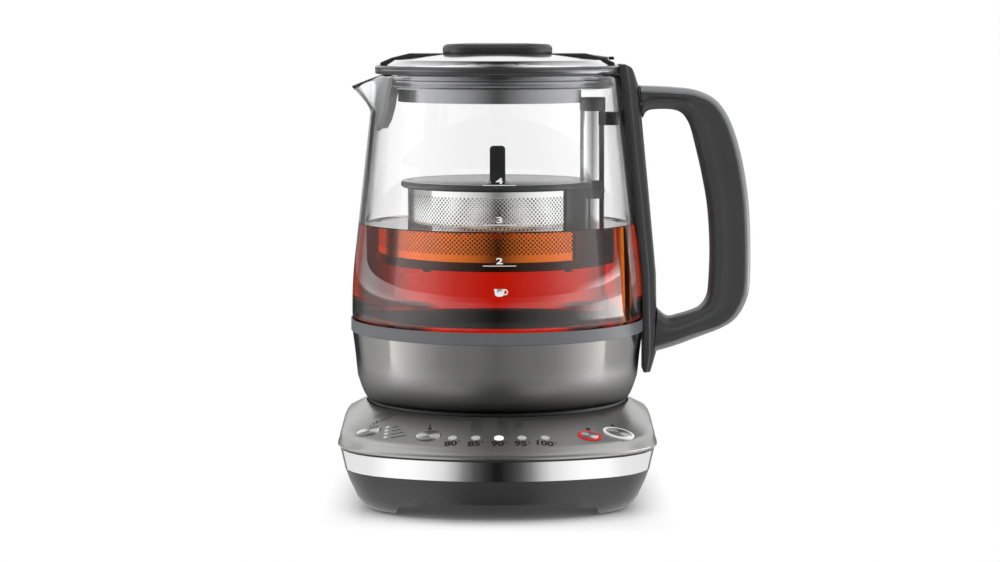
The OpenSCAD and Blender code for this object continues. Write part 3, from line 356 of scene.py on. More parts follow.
groovesAndHighlight = {"turn": 0.9, "grooves": 60.0, "bump": 0.06, "depth": 0.00005,
          "paintedHighlight": [(0.0, 0.28), (0.35, 0.34), (0.62, 0.62), (0.85, 0.95), (1.0, 1.0)]}


def makeSpunMetalWithHighlight():  # turned face: fine grooves, and a painted highlight of two pairs of bright wedges round its middle
    material, tree, shader = shaderOf("spunMetalPaintedHighlight")
    flat = add(tree, "ShaderNodeUVMap", uv_map="face").outputs["UV"]
    parts = add(tree, "ShaderNodeSeparateXYZ", {0: flat}).outputs
    angle = calc(tree, "ARCTAN2", parts["Y"], parts["X"])
    wave = calc(tree, "COSINE", calc(tree, "MULTIPLY_ADD", angle, 2.0, groovesAndHighlight["turn"]))
    # painted highlight: the colour is brighter in wedges by angle round the face's middle
    tree.links.new(ramp(tree, rise(tree, wave, -1, 1), groovesAndHighlight["paintedHighlight"]), shader.inputs["Base Color"])
    length = calcVector(tree, "LENGTH", flat, output="Value")
    ripple = calc(tree, "SINE", calc(tree, "MULTIPLY", length, groovesAndHighlight["grooves"]))
    bump = add(tree, "ShaderNodeBump", {"Strength": groovesAndHighlight["bump"], "Distance": groovesAndHighlight["depth"], "Height": ripple})
    tree.links.new(bump.outputs["Normal"], shader.inputs["Normal"])
    setInputs(shader, {"Metallic": 0.85, "Roughness": 0.30})
    return material


def makePrint(name, color):
    material, tree, shader = shaderOf(name)
    tree.links.new(rise(tree, noise(tree, objectPlace(tree), 1800), low=0.45, high=0.6), shader.inputs["Roughness"])
    setInputs(shader, {"Base Color": (*color, 1)})
    return material


looks["glass"] = makeClear("clearGlass")
looks["tea"] = makeTea()
looks["bubble"] = makeClear("airBubble")
looks["whiteRing"] = makeLight("whiteRing", (0.86, 0.86, 0.86), (1, 1, 1), 0.12)
looks["redRing"] = makeLight("redRing", (0.62, 0.012, 0.014), (1, 0.02, 0.02), 0.12)
looks["dotLights"] = makeLight("dotLights", (0.58, 0.58, 0.57), (1, 1, 1), 0.0)
looks["panelLights"] = makePanelLights()
looks["spunMetalPaintedHighlight"] = makeSpunMetalWithHighlight()
looks["whitePrint"] = makePrint("whitePrint", (0.90, 0.90, 0.90))
looks["blackPrint"] = makePrint("blackPrint", (0.012, 0.012, 0.012))
print("materials made")


# The stage: camera, lamps, world and floor
camera = {"lens": 99.2, "place": (0.00125, -1.378, 0.2425), "tilt": 5.6}


def placeCamera():
    data = bpy.data.cameras.new("photoCamera")
    data.lens = camera["lens"]
    data.sensor_width = 36
    data.clip_end = 50
    eye = bpy.data.objects.new("photoCamera", data)
    eye.location = camera["place"]
    eye.rotation_euler = (math.radians(90 - camera["tilt"]), 0, 0)
    bpy.context.scene.collection.objects.link(eye)
    bpy.context.scene.camera = eye


softboxes = {  # place, target and size in metres, and power in watts
    "overhead": ((0.0, -0.25, 1.5), (0, 0, 0.1), (1.3, 1.1), 9.0),
    "leftBox": ((-0.88, 0.20, 0.55), (0, 0, 0.12), (0.36, 0.9), 3.0),
    "rightBox": ((0.90, 0.06, 0.55), (0, 0, 0.12), (0.44, 0.9), 3.0),
}


def placeLamp(name, place, target, size, power):
    data = bpy.data.lights.new(name, "AREA")
    data.shape = "RECTANGLE"
    data.size, data.size_y = size
    data.energy = power
    lamp = bpy.data.objects.new(name, data)
    lamp.location = place
    aim = Vector(target) - Vector(place)
    lamp.rotation_euler = aim.to_track_quat("-Z", "Y").to_euler()
    lamp.visible_camera = False
    lamp.visible_glossy = False
    lamp.visible_transmission = False
    bpy.context.scene.collection.objects.link(lamp)


# Brightness of the studio cards, pairs of place and level. The place is the azimuth from the front (0) to the
# back (1), but for above, aboveFront and the behind ones, where it is the sideways share of the direction.
# metal shows in the shell, band in the band and the bead, glassLeft and glassRight in the jug's glass and upright
# steel, above and aboveFront in the lid and the panel, rim in the lid's rim. Through the jug, inside, sheet and
# sheetHigh show in the basket and the post, and the behind ones show in and behind the tea.
cards = {
    "metal": [(0.0, 0.28), (0.086, 0.36), (0.162, 0.40), (0.232, 0.50), (0.292, 0.70), (0.344, 0.93), (0.404, 1.27),
              (0.455, 1.65), (0.478, 1.70), (0.486, 0.90), (0.607, 0.70), (0.696, 0.58), (0.787, 0.05)],
    "glassLeft": [(0.0, 0.0), (0.10, 0.03), (0.20, 0.25), (0.30, 0.9), (0.40, 1.3), (0.50, 1.3), (0.53, 0.6),
                  (0.70, 0.38), (0.85, 0.06)],
    "glassRight": [(0.0, 0.0), (0.14, 0.04), (0.26, 0.35), (0.34, 0.9), (0.42, 4.6), (0.47, 8.0), (0.60, 8.4),
                   (0.69, 6.6), (0.72, 0.7), (0.85, 0.08)],
    "band": [(0.0, 0.012), (0.007, 0.014), (0.028, 0.042), (0.049, 0.094), (0.070, 0.235), (0.091, 0.53),
             (0.112, 0.80), (0.14, 0.97), (0.18, 1.12), (0.23, 1.16), (0.26, 1.05), (0.30, 0.92), (0.50, 0.85),
             (0.80, 0.8), (0.90, 0.3)],
    "above": [(0.0, 0.20), (0.08, 0.28), (0.16, 0.62), (0.25, 1.15), (0.40, 1.50), (0.60, 1.2), (0.80, 0.9)],
    "aboveFront": [(0.0, 0.02), (0.10, 0.05), (0.20, 0.30), (0.45, 1.0), (0.80, 1.25)],
    "inside": [(0.0, 0.05), (0.05, 0.09), (0.117, 0.20), (0.18, 0.27), (0.25, 0.45), (0.32, 0.80), (0.40, 1.0),
               (0.49, 1.4), (0.58, 1.3), (0.75, 0.6), (0.90, 0.3)],
    "sheet": [(0.0, 0.12), (0.05, 0.30), (0.096, 0.50), (0.168, 0.76), (0.243, 0.98), (0.32, 1.15), (0.44, 1.30),
              (0.60, 1.35), (0.75, 1.1), (0.90, 0.6)],
    "rim": [(0.0, 0.0), (0.137, 0.45), (0.20, 0.90), (0.27, 2.1), (0.34, 3.3), (0.50, 3.8), (0.66, 2.8), (0.80, 0.3)],
    "behindGlass": [(0.0, 1.0), (0.20, 1.0), (0.235, 0.45), (0.27, 0.06), (0.42, 0.05), (0.5, 0.12), (0.95, 0.22)],
    "behindTea": [(0.0, 1.0), (0.22, 1.05), (0.27, 0.9), (0.32, 0.52), (0.38, 0.27), (0.46, 0.15), (0.56, 0.06),
                  (0.70, 0.3), (0.80, 1.2), (0.97, 1.5)],
    "behindFar": [(0.0, 1.0), (0.20, 1.0), (0.235, 0.45), (0.27, 0.06), (0.42, 0.05), (0.5, 0.10), (0.95, 0.06)],
    "sheetHigh": [(0.0, 0.26), (0.025, 0.28), (0.096, 0.60), (0.168, 0.84), (0.243, 1.03), (0.32, 1.2), (0.405, 1.27),
                  (0.50, 1.24), (0.61, 1.12), (0.756, 0.95)],
}


def makeMirrorCards():  # brightness by direction, one output for each kind of mirror
    names = {"Metal": "metal", "Band": "band", "Inside": "inside", "Rim": "rim", "Sheet": "sheet",
             "SheetHigh": "sheetHigh", "Plain": "glassLeft"}
    tree, given, result = newGroup(
        "mirrorCards", [("Direction", "NodeSocketVector", None)],
        [(name, "NodeSocketFloat", None) for name in (*names, "Glass", "Above")])
    parts = add(tree, "ShaderNodeSeparateXYZ", {0: given["Direction"]}).outputs
    side = calc(tree, "ABSOLUTE", parts["X"])
    turn = calc(tree, "DIVIDE", calc(tree, "ARCTAN2", side, calc(tree, "MULTIPLY", parts["Y"], -1.0)), pi)
    levels = {name: ramp(tree, turn, cards[card]) for name, card in names.items()}
    levels["Above"] = ramp(tree, side, cards["above"])
    right = calc(tree, "GREATER_THAN", parts["X"], 0.0)
    levels["Glass"] = blendShades(tree, right, levels["Plain"], ramp(tree, turn, cards["glassRight"]))
    for name, level in levels.items():
        tree.links.new(level, result[name])
    return tree


def useGroup(tree, group, inputs):
    made = add(tree, "ShaderNodeGroup", node_tree=group)
    for key, value in inputs.items():
        tree.links.new(value, made.inputs[key])
    return made.outputs


# Where one card gives way to the next; the last letter names the part of the direction
worldLook = {"backdropY": (0.2, 0.5), "backdropZ": (0.04, 0.08), "uprightZ": (0.0, 0.03), "shelfY": (0.12, 0.18),
             "highY": (0.33, 0.38), "highZ": (0.35, 0.6), "behindY": (0.0, 0.03), "soft": (0.62, 0.62, 0.62, 1),
             "throughHigh": (0.8, 0.8, 0.8, 1), "white": (1, 1, 1, 1)}


def makeWorld():
    world = bpy.data.worlds.new("studio")
    world.use_nodes = True
    tree = world.node_tree
    bpy.context.scene.world = world
    path = add(tree, "ShaderNodeLightPath").outputs
    direction = add(tree, "ShaderNodeTexCoord").outputs["Generated"]
    parts = add(tree, "ShaderNodeSeparateXYZ", {0: direction}).outputs
    side = calc(tree, "ABSOLUTE", parts["X"])
    mirror = useGroup(tree, mirrorCards, {"Direction": direction})

    def step(name, a, b):
        return blendShades(tree, rise(tree, parts[name[-1]], *worldLook[name]), a, b)

    backdrop = calc(tree, "MULTIPLY", rise(tree, parts["Y"], *worldLook["backdropY"]),
                    rise(tree, parts["Z"], *worldLook["backdropZ"]))
    low = blendShades(tree, backdrop, step("uprightZ", mirror["Glass"], mirror["Plain"]), worldLook["white"])
    front = ramp(tree, side, cards["aboveFront"])
    high = step("highY", step("shelfY", front, mirror["Above"]), front)
    behind = step("behindY", mirror["Inside"], ramp(tree, side, cards["behindGlass"]))
    through = step("highZ", behind, worldLook["throughHigh"])
    mirrored = blendShades(tree, path["Is Transmission Ray"], step("highZ", low, high), through)
    soft = blendShades(tree, path["Is Diffuse Ray"], mirrored, worldLook["soft"])
    seen = blendShades(tree, path["Is Camera Ray"], soft, worldLook["white"])
    tree.links.new(seen, tree.nodes["Background"].inputs["Color"])


# The object's shadow on the floor, and how far from the axis, in metres, one card gives way to the next
floorLook = {"shadowMiddle": (0, 0.005, 0), "shadowHalf": (0.064, 0.078, 1), "shadowReach": (0.022, 0.140, 1),
             "shadowEdge": (0.05, 1.0), "bandReach": (0.17, 0.20), "metalReach": (0.55, 0.75),
             "rimReach": (1.75, 2.0), "levelReach": (1.68, 1.82), "sheetReach": (3.2, 4.2), "teaReach": (2.0, 2.6),
             "behindY": (0.0, 0.03), "lift": 0.02, "halfSize": 30}


def makeFloor():
    material, tree, shader = shaderOf("paleFloor")
    setInputs(shader, {"Base Color": (0.92, 0.92, 0.92, 1), "Roughness": 0.9, "Specular IOR Level": 0.0})
    path = add(tree, "ShaderNodeLightPath").outputs
    place = objectPlace(tree)
    reach = calcVector(tree, "LENGTH", place, output="Value")
    direction = calcVector(tree, "NORMALIZE", place)
    parts = add(tree, "ShaderNodeSeparateXYZ", {0: direction}).outputs
    side = calc(tree, "ABSOLUTE", parts["X"])
    mirror = useGroup(tree, mirrorCards, {"Direction": direction})

    def step(name, a, b):
        return blendShades(tree, rise(tree, reach, *floorLook[name]), a, b)

    def glow(color, strength=1.0):
        return add(tree, "ShaderNodeEmission", {"Color": color, "Strength": strength}).outputs[0]

    def mixed(factor, a, b):
        return add(tree, "ShaderNodeMixShader", {0: factor, 1: a, 2: b}).outputs[0]

    near = step("metalReach", step("bandReach", mirror["Band"], mirror["Metal"]), mirror["Glass"])
    glossy = step("rimReach", near, mirror["Rim"])
    behind = step("teaReach", ramp(tree, side, cards["behindTea"]), ramp(tree, side, cards["behindFar"]))
    front = step("sheetReach", step("levelReach", mirror["Sheet"], mirror["SheetHigh"]), mirror["Inside"])
    through = blendShades(tree, rise(tree, parts["Y"], *floorLook["behindY"]), front, behind)
    white = (1, 1, 1, 1)
    lit = add(tree, "ShaderNodeAddShader", {0: shader.outputs[0], 1: glow(white, floorLook["lift"])}).outputs[0]
    folded = calcVector(tree, "ABSOLUTE", calcVector(tree, "SUBTRACT", place, floorLook["shadowMiddle"]))
    outside = calcVector(tree, "SUBTRACT", folded, floorLook["shadowHalf"])
    clipped = calcVector(tree, "MAXIMUM", outside, (0, 0, 0))
    shared = calcVector(tree, "DIVIDE", clipped, floorLook["shadowReach"])
    away = rise(tree, calcVector(tree, "LENGTH", shared, output="Value"), *floorLook["shadowEdge"])
    whole = shader.outputs[0]
    for kind, view in (("Is Glossy Ray", glow(glossy)), ("Is Transmission Ray", mixed(away, lit, glow(through))),
                       ("Is Camera Ray", mixed(away, lit, glow(white)))):
        whole = mixed(path[kind], whole, view)
    tree.links.new(whole, tree.nodes["Material Output"].inputs["Surface"])
    bm = bmesh.new()
    bmesh.ops.create_grid(bm, x_segments=1, y_segments=1, size=floorLook["halfSize"])
    mesh = bpy.data.meshes.new("paleFloor")
    bm.to_mesh(mesh)
    bm.free()
    mesh.materials.append(material)
    floor = bpy.data.objects.new("paleFloor", mesh)
    bpy.context.scene.collection.objects.link(floor)


bpy.context.scene.view_settings.view_transform = "Standard"
placeCamera()
mirrorCards = makeMirrorCards()
makeWorld()
makeFloor()
for name, softbox in softboxes.items():
    placeLamp(name, *softbox)
print("stage set")


# Glass jug, tea and bubbles, sizes in mm
glass = {"footR": 72.9, "rimR": 61.3, "rimZ": 211.0, "wall": 2.8, "footZ": 87.4, "bendLow": 95.0, "bendHigh": 120.0,
         "spoutOut": 12.1, "spoutDrop": 5.6, "spoutHalfAngle": 24.0, "spoutStart": 190.0, "collarTop": 89.6}
tea = {"level": 136.4, "floor": 87.9, "overlap": 0.15}


def glassRadius(z):  # outer radius: upright foot, a bend, then a straight cone up to the rim
    slope = (glass["footR"] - glass["rimR"]) / (glass["rimZ"] - (glass["bendLow"] + glass["bendHigh"]) / 2)
    if z <= glass["bendLow"]:
        return glass["footR"]
    if z <= glass["bendHigh"]:
        return glass["footR"] - slope * (z - glass["bendLow"]) ** 2 / 2 / (glass["bendHigh"] - glass["bendLow"])
    return glass["rimR"] + slope * (glass["rimZ"] - z)


def pullSpout(bm):  # the rim is drawn outwards and down on the left
    for v in bm.verts:
        z = v.co.z / mm
        if z <= glass["spoutStart"]:
            continue
        off = abs(math.degrees(math.atan2(v.co.y, -v.co.x)))
        if off >= glass["spoutHalfAngle"]:
            continue
        k = (0.5 + 0.5 * math.cos(pi * off / glass["spoutHalfAngle"])) ** 1.3
        t = (z - glass["spoutStart"]) / (glass["rimZ"] - glass["spoutStart"])
        flare = glass["spoutOut"] * k * (max(0, t - 0.15) / 0.85) ** 1.3
        out = Vector((v.co.x, v.co.y, 0)).normalized()
        v.co += out * flare * mm - Vector((0, 0, glass["spoutDrop"] * k * t * mm))


def makeGlassJug():
    top, wall = glass["rimZ"], glass["wall"]
    heights = [95, 98, 101, 104, 107, 110, 113, 116, 120, 140, 160, 180, 190, 193, 196, 199, 202, 205, 207.5, 209.5]
    outer = [(glass["footR"] - 1.3, glass["footZ"]), (glass["footR"] - 1.2, glass["collarTop"]),
             (glass["footR"] - 0.4, glass["collarTop"] + 0.6), (glass["footR"], glass["collarTop"] + 1.8)]
    outer += [(glassRadius(z), z) for z in heights]
    rim = [(glass["rimR"] - wall / 2 + wall / 2 * math.cos(a), top - wall / 2 + wall / 2 * math.sin(a))
           for a in (0.3, 0.8, 1.25, 1.6, 2.0, 2.5, 2.9)]
    inner = [(glassRadius(z) - wall, z) for z in reversed(heights)]
    inner += [(glass["footR"] - wall - 0.5, 91.5), (glass["footR"] - wall - 1.4, glass["footZ"])]
    bm = spinProfile(outer + rim + inner, closed=True)
    pullSpout(bm)
    piece = addPiece("glassJug", bm, looks["glass"], "jug", 60)
    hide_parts("jug_glass")


def makeTeaBody():
    def wallAt(z):
        return glassRadius(z) - glass["wall"] + tea["overlap"]
    level, floor = tea["level"], tea["floor"]
    points = [(0, floor), (glass["footR"] - 5.5, floor), (glass["footR"] - 4.2, floor + 0.5),
              (wallAt(90) - 0.5, 91.5), (wallAt(95), 95)]
    points += [(wallAt(z), z) for z in (98, 101, 104, 107, 110, 113, 116, 120, 128, level)]
    points.append((wallAt(level + 0.9), level + 0.9))  # the tea creeps up the glass a little
    points += [(wallAt(level) - gap, level + up) for gap, up in ((0.45, 0.62), (1.0, 0.25), (2.0, 0.04), (4.0, 0))]
    points.append((0, level))
    addPiece("teaBody", spinProfile(points), looks["tea"], "jug", 60)


bubbles = {"seed": 11, "gap": 0.12, "alongSurface": 130,
           "clouds": [((-58, -14), (92, 134), (0.12, 0.42), 210),  # degrees, heights, radii and count
                      ((-170, -10), (97, 134), (0.14, 0.28), 240)]}


def makeBubbles():
    random.seed(bubbles["seed"])
    bm = bmesh.new()
    spots = []
    for angles, heights, radii, count in bubbles["clouds"]:
        spots += [(random.uniform(*angles), random.uniform(*heights), random.uniform(*radii)) for _ in range(count)]
    for _ in range(bubbles["alongSurface"]):
        spots.append((random.uniform(0, 360), tea["level"] - random.uniform(0.1, 0.5), random.uniform(0.2, 0.5)))
    for angle, z, r in spots:
        place = Matrix.Translation(polar(angle, glassRadius(z) - glass["wall"] - r - bubbles["gap"], z))
        bmesh.ops.create_icosphere(bm, subdivisions=1, radius=r * mm, matrix=place)
    addPiece("teaBubbles", bm, looks["bubble"], "jug", 180)


makeGlassJug()
makeTeaBody()
makeBubbles()
print("glass and tea made")


# Perforated basket, sizes in mm; the open side faces the post
basket = {"radius": 44.5, "thick": 0.5, "lowZ": 118.1, "holesLow": 124.0, "holesHigh": 152.0, "topZ": 154.9,
          "startAngle": 15.0, "columns": 250, "rows": 26, "margin": 3, "inset": 0.1, "hole": 0.455}


def makeBasketWall():
    columns, rows, margin = basket["columns"], basket["rows"] + 2, basket["margin"]
    span = 360 - 2 * basket["startAngle"]
    levels = [basket["lowZ"]]
    levels += [basket["holesLow"] + k * (basket["holesHigh"] - basket["holesLow"]) / basket["rows"]
               for k in range(basket["rows"] + 1)]
    levels += [basket["topZ"]]
    bm = bmesh.new()
    bmesh.ops.create_grid(bm, x_segments=columns, y_segments=rows, size=0.5)
    cell = math.radians(span / columns) * basket["radius"]
    holes = []
    for face in bm.faces:
        middle = face.calc_center_median()
        column = int((middle.x + 0.5) * columns)
        row = int((middle.y + 0.5) * rows)
        if 0 < row < rows - 1 and (column + row) % 2 and margin <= column < columns - margin:
            holes.append(face)
    for v in bm.verts:  # a flat sheet first, in mm
        z = levels[round((v.co.y + 0.5) * rows)]
        v.co = Vector(((v.co.x + 0.5) * columns * cell, 0, z))
    bm.normal_update()
    bmesh.ops.inset_individual(bm, faces=holes, thickness=basket["inset"], use_even_offset=True)
    middles = {v: face.calc_center_median() for face in holes for v in face.verts}
    edges = list({edge for face in holes for edge in face.edges})
    bmesh.ops.delete(bm, geom=holes, context="FACES_ONLY")
    bmesh.ops.subdivide_edges(bm, edges=edges, cuts=1)
    for v in bm.verts:  # each hole becomes an even octagon
        near = middles.get(v) or next((middles[e.other_vert(v)] for e in v.link_edges
                                       if e.is_boundary and e.other_vert(v) in middles), None)
        if near:
            v.co = near + (v.co - near).normalized() * basket["hole"]
    for v in bm.verts:  # then rolled
        angle = basket["startAngle"] + math.degrees(v.co.x / basket["radius"])
        v.co = polar(angle, basket["radius"], v.co.z)
    bmesh.ops.recalc_face_normals(bm, faces=bm.faces)
    piece = addPiece("basketWall", bm, looks["basketSteel"], "basket", 50)
    rims = bmesh.new()
    rims.from_mesh(piece.data)
    for edge in rims.edges:  # crisp hole rims
        edge.smooth = not edge.is_boundary
    rims.to_mesh(piece.data)
    rims.free()
    wall = piece.modifiers.new("sheet", "SOLIDIFY")
    wall.thickness = basket["thick"] * mm
    wall.offset = -1
    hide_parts("basket_wall")


makeBasketWall()
print("basket made")


# Handle, sizes in mm
handle = {
    "width": 10.5, "cover": 3.0, "columns": 44, "rows": 96,
    "stations": [  # outer x, outer z, inner x, inner z in mm, from the top root to the bottom root
        (70.9, 205.4, 72.4, 189.4), (77, 205.2, 75.4, 193.2), (87, 204.7, 86.1, 193.7), (98.2, 203.4, 91.8, 191.8),
        (107.5, 199.4, 94.8, 188.2), (113.6, 192.4, 96.8, 183.5), (118.2, 182.2, 99.4, 173.5),
        (122.4, 166.5, 102.4, 160.6), (125.3, 147.5, 105.2, 144.5), (126.4, 126.2, 106.5, 124.5),
        (126.2, 106.5, 106, 106), (124.2, 97.4, 104.8, 99.2), (119.6, 89.6, 101.4, 94.6), (112.4, 84.5, 96.6, 92.4),
        (99.1, 79.3, 90.8, 90.7), (89, 75.5, 85.2, 89.8), (78.4, 72.4, 80.0, 94.0)],
}


def handleSkin(name, outline, material, node):  # outline gives distance from the inner edge and half width
    def place(u, v):
        ox, oz, ix, iz = smoothLine(handle["stations"], v)
        along, depth = Vector((ox - ix, 0, oz - iz)), math.hypot(ox - ix, oz - iz)
        along.normalize()
        distance, half = outline(u, depth)
        return (Vector((ix, half, iz)) + along * distance) * mm
    skin = gridSkin(handle["columns"], handle["rows"], place)
    piece = addPiece(name, skin, material, "jug", 50)
    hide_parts(node)


def loopPoint(points, u):  # a point on a closed outline of straight runs, by share of its count
    k = (u % 1) * len(points)
    a, b = points[int(k) % len(points)], points[(int(k) + 1) % len(points)]
    f = k - int(k)
    return a[0] + (b[0] - a[0]) * f, a[1] + (b[1] - a[1]) * f


def gripOutline(u, depth):
    w, end = handle["width"], depth - handle["cover"] - 0.05
    half = [(0, 2.5), (0.15, 5.0), (0.7, 7.3), (1.9, 9.0), (3.6, 9.9), (5.4, w - 0.3), (depth * 0.45, w - 0.9),
            (depth * 0.62, w - 0.75), (end - 1.6, w - 0.1), (end - 0.5, w), (end, w - 0.2)]
    points = [(d, -s) for d, s in half] + [(d, s) for d, s in reversed(half)]
    return loopPoint(points, u)


def coverOutline(u, depth):
    w, low = handle["width"], depth - handle["cover"]
    half = [(low, 5.0), (low, w - 0.25), (low + 0.35, w), (low + 0.9, w), (low + 1.5, w - 0.35), (low + 2.1, w - 1.1),
            (low + 2.6, w - 2.3), (low + 2.9, w - 4.0), (depth, w - 6.5), (depth, 2.0), (depth, 1.0)]
    points = [(d, -s) for d, s in half] + [(d, s) for d, s in reversed(half)]
    return loopPoint(points, u)


handleSkin("handleGrip", gripOutline, looks["gripPlastic"], "handle")
handleSkin("handleStrip", coverOutline, looks["trimPlastic"], "handle_cover")
print("handle made")


# Printed marks, sizes and places in mm
marks = {
    "levels": [("4", 161.6), ("3", 143.1), ("2", 123.7)],
    "lines": [159.7, 140.9, 121.5],
    "middle": 1.0, "numberHeight": 2.9, "lineSize": (16.0, 0.34), "cupZ": 108.8, "lift": 0.03,
    "cup": [(-2.6, 1.8), (-2.0, -1.2), (-1.0, -1.8), (1.0, -1.8), (2.0, -1.2), (2.6, 1.8)],
    "temperatures": [("80", -21.6, -82.1), ("85", -10.5, -83.4), ("90", 0.7, -83.8), ("95", 11.8, -83.3),
                     ("100", 22.8, -81.9)],
    "temperatureHeight": 3.1, "stretch": 1.7, "temperatureStretch": 1.4, "temperatureWeight": 0.06,
    "strengthBars": [(-50.6, -62.0), (-50.8, -65.2), (-51.0, -68.2), (-51.2, -71.2)],
    "bars": [(0, 0), (0.8, 0), (0.8, 1), (0, 1)], "barsAt": (-62.0, -54.2),
    "bulbAt": (-32.4, -69.4), "stemAt": (-32.4, -69.0), "stem": [(-0.35, 0), (0.35, 0), (0.35, 3.0), (-0.35, 3.0)],
    "stopAt": (43.6, -66.0), "stop": [(-1.0, -1.0), (1.0, -1.0), (1.0, 1.0), (-1.0, 1.0)],
    "startAt": (55.8, -57.2), "start": [(-0.9, -1.2), (1.3, 0), (-0.9, 1.2)],
}


digitShare = 0.72  # height of a digit by the size of its font


def textMesh(letters, height, stretch, weight=0.03):
    curve = bpy.data.curves.new("letters", "FONT")
    curve.body = letters
    curve.align_x = "CENTER"
    curve.align_y = "CENTER"
    curve.size = height / digitShare
    curve.offset = weight * height
    holder = bpy.data.objects.new("letters", curve)
    bpy.context.scene.collection.objects.link(holder)
    bpy.context.view_layer.update()
    flat = bpy.data.meshes.new_from_object(holder.evaluated_get(bpy.context.evaluated_depsgraph_get()))
    bpy.data.objects.remove(holder)
    bm = bmesh.new()
    bm.from_mesh(flat)
    bpy.data.meshes.remove(flat)
    bmesh.ops.scale(bm, vec=(stretch, 1, 1), verts=bm.verts)
    bmesh.ops.triangulate(bm, faces=bm.faces)
    return bm


def plate(points):  # a flat shape from a few corners
    bm = bmesh.new()
    bm.faces.new([bm.verts.new((x, y, 0)) for x, y in points])
    return bm


def disc(radius, inner=0):
    bm = bmesh.new()
    bmesh.ops.create_circle(bm, cap_ends=not inner, radius=radius, segments=28)
    if inner:
        bmesh.ops.create_circle(bm, cap_ends=False, radius=inner, segments=28)
        bmesh.ops.bridge_loops(bm, edges=bm.edges)
    return bm


def joinInto(target, source, shift=(0, 0)):
    bmesh.ops.translate(source, vec=(shift[0], shift[1], 0), verts=source.verts)
    mesh = bpy.data.meshes.new("part")
    source.to_mesh(mesh)
    source.free()
    target.from_mesh(mesh)
    bpy.data.meshes.remove(mesh)


def makeLevelMarks():
    bm = bmesh.new()
    for letters, z in marks["levels"]:
        joinInto(bm, textMesh(letters, marks["numberHeight"], marks["stretch"]), (marks["middle"], z))
    for z in marks["lines"]:
        row = bmesh.new()
        bmesh.ops.create_grid(row, x_segments=12, y_segments=1, size=0.5)
        bmesh.ops.scale(row, vec=(*marks["lineSize"], 1), verts=row.verts)
        joinInto(bm, row, (marks["middle"], z))
    joinInto(bm, plate(marks["cup"]), (marks["middle"], marks["cupZ"]))
    joinInto(bm, disc(1.4, inner=0.9), (marks["middle"] + 2.7, marks["cupZ"] + 0.3))  # the cup's ear
    for v in bm.verts:
        x, z = v.co.x, v.co.y
        r = glassRadius(z) + marks["lift"]
        v.co = polar(-90 + math.degrees(x / r), r, z)
    bmesh.ops.recalc_face_normals(bm, faces=bm.faces)
    faceOutwards(bm)
    addPiece("levelMarks", bm, looks["whitePrint"], "jug", 40)


def faceOutwards(bm):
    bm.faces.ensure_lookup_table()
    bm.normal_update()
    wrong = [f for f in bm.faces if f.normal.dot(Vector((0, -1, 0.2))) < 0]
    bmesh.ops.reverse_faces(bm, faces=wrong)


def makePanelMarks():
    bm = bmesh.new()
    for letters, x, y in marks["temperatures"]:
        digits = textMesh(letters, marks["temperatureHeight"], marks["temperatureStretch"], marks["temperatureWeight"])
        joinInto(bm, digits, (x - 0.6, y))
        joinInto(bm, disc(0.6, inner=0.3), (x + 1.55 * len(letters) + 0.2, y + 1.1))  # degree sign
    for k, place in enumerate(marks["strengthBars"]):  # longer bar, stronger tea
        length = 3.0 + 1.5 * k
        joinInto(bm, plate([(0, -0.35), (length, -0.35), (length, 0.35), (0, 0.35)]), place)
    for k in range(3):  # strength: three rising bars
        bar = [(x, y * (1.0 + 0.8 * k)) for x, y in marks["bars"]]
        joinInto(bm, plate(bar), (marks["barsAt"][0] + 1.4 * k, marks["barsAt"][1] + 0.9 * k))
    joinInto(bm, disc(0.9), marks["bulbAt"])  # temperature: bulb and stem
    for sign in ("stem", "stop", "start"):
        joinInto(bm, plate(marks[sign]), marks[sign + "At"])
    surface = BVHTree.FromObject(cadNodes["base_top_cover"], bpy.context.evaluated_depsgraph_get())
    for v in bm.verts:
        hit = surface.ray_cast(Vector((v.co.x * mm, v.co.y * mm, 0.07)), Vector((0, 0, -1)))
        v.co = hit[0] + hit[1] * marks["lift"] * mm if hit[0] else v.co * mm
    bm.normal_update()
    bmesh.ops.reverse_faces(bm, faces=[f for f in bm.faces if f.normal.z < 0])
    addPiece("panelMarks", bm, looks["blackPrint"], "power_base", 40)


makeLevelMarks()
makePanelMarks()
print("marks printed")


# Buttons: their faces get a map for the turned grooves and the painted highlight
faceDepth = 0.0002  # metres under the highest point that still count as the face


def makeButtons():
    for name in ("strength", "temperature", "stop", "start"):
        piece = dressCopy(name + "_button", looks["spunMetalPaintedHighlight"], name + "_button", 0.22, 40)
        joint = next(j for j in frame["joints"] if j["name"] == name + "_press")
        normal = -Vector(joint["axis"]).normalized()
        right = (Vector((1, 0, 0)) - normal * normal.x).normalized()
        upward = normal.cross(right)
        top = [v.co for v in piece.data.vertices]
        reach = max(p.dot(normal) for p in top)
        face = [p for p in top if p.dot(normal) > reach - faceDepth]
        middle = sum(face, Vector()) / len(face)
        size = [max((p - middle).dot(way) for p in face) for way in (right, upward)]
        layer = piece.data.uv_layers.new(name="face")
        for loop in piece.data.loops:
            p = piece.data.vertices[loop.vertex_index].co - middle
            layer.data[loop.index].uv = (p.dot(right) / size[0], p.dot(upward) / size[1])


makeButtons()
print("buttons made")


# Finishes of the remaining CAD nodes
spineTop = {"x": 62.6, "z": 210.6, "radius": 5.4}  # mm


def roundSpineTop(bm):  # the upper outer edge is a wide curve
    for v in bm.verts:
        x, z = v.co.x / mm - spineTop["x"], v.co.z / mm - spineTop["z"]
        if x > 0 and z > 0 and math.hypot(x, z) > spineTop["radius"]:
            share = spineTop["radius"] / math.hypot(x, z)
            v.co.x, v.co.z = (spineTop["x"] + x * share) * mm, (spineTop["z"] + z * share) * mm


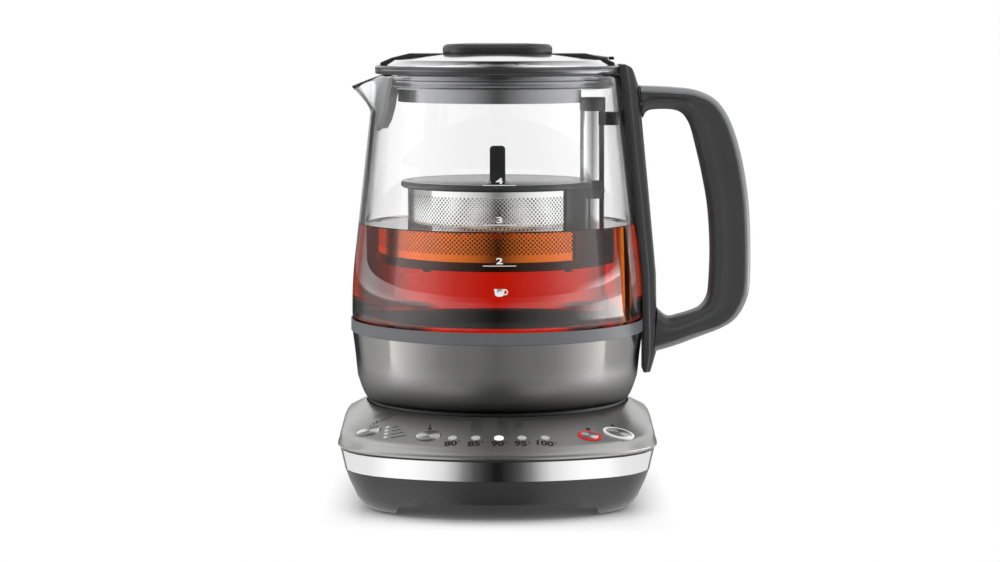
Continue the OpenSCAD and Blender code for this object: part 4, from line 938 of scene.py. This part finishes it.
# Nodes shown by a dressed copy: look, body, bevel in mm, sharp angle and slot
dressed = {
    "base_housing": ("darkPlastic", "power_base", 0.5, 30, "dark_plastic"),
    "base_top_cover": ("trayMetal", "power_base", 0.0, 30, "smoked_metal"),
    "base_band": ("polishedMetal", "power_base", 0.0, 30, "polished_metal"),
    "jug_shell": ("smokedMetalPaintedFootShade", "jug", 0.0, 30, "smoked_metal"),
    "lid_cap": ("capMetal", "lid", 0.25, 12, "polished_metal"),
    "lid_plug": ("plugMetal", "lid", 0.25, 40, "plug_plastic"),
    "lid_seal": ("plugMetal", "lid", 0.1, 40, "seal_silicone"),
    "handle_spine": ("darkPlastic", "jug", 0.35, 30, "dark_plastic"),
    "lid_rim": ("rimPlastic", "lid", 0.25, 40, "dark_plastic"),
    "lid_bar": ("darkPlastic", "lid", 0.4, 25, "dark_plastic"),
    "lid_grip": ("darkPlastic", "lid", 0.3, 30, "dark_plastic"),
    "lid_tab": ("polishedMetal", "lid", 0.3, 30, "polished_metal"),
    "lid_tab_tip": ("blackPlastic", "lid", 0.3, 30, "black_plastic"),
    "basket_lid": ("greyPlastic", "basket_lid", 0.3, 40, "grey_plastic"),
    "basket_rim": ("greyPlastic", "basket", 0.25, 40, "grey_plastic"),
    "basket_carrier": ("greyPlastic", "basket_carrier", 0.3, 40, "grey_plastic"),
    "post_cap": ("greyPlastic", "jug", 0.3, 40, "grey_plastic"),
    "post_bracket": ("blackPlastic", "jug", 0.3, 40, "black_plastic"),
}
# Nodes shown as they are, by look
kept = {
    "blackRubber": ["base_feet", "jug_seat_ring"],
    "satinSteel": ["base_screws", "heating_element", "handle_screws", "lift_motor", "lift_screw",
                   "basket_floor"],
    "postSteel": ["lift_post"],
    "blackPlastic": ["connector_socket", "cable_gland", "tact_switches", "jug_connector", "jug_underside",
                     "power_parts"],
    "contactCopper": ["socket_contacts", "temperature_sensor"],
    "greenBoard": ["circuit_board"],
    "greyPlastic": ["switch_frame", "basket_channel"],
    "footPlastic": ["basket_foot_ring"],
    "collarPlastic": ["jug_collar"],
    "paleSilicone": ["glass_gasket", "post_gasket"],
    "strainerPlastic": ["spout_strainer"],
    "heaterCoat": ["heater_plate"],
    "darkMagnet": ["lift_magnet"],
    "panelLights": ["temperature_lights"],
    "dotLights": ["strength_lights"],
    "redRing": ["stop_light_ring"],
    "whiteRing": ["start_light_ring"],
}
for node, (look, body, bevel, angle, slot) in dressed.items():
    dressCopy(node, looks[look], body, bevel, angle, roundSpineTop if node == "handle_spine" else None)
for look, names in kept.items():
    for node in names:
        cadNodes[node].data.materials.clear()
        cadNodes[node].data.materials.append(looks[look])
print("finishes given")
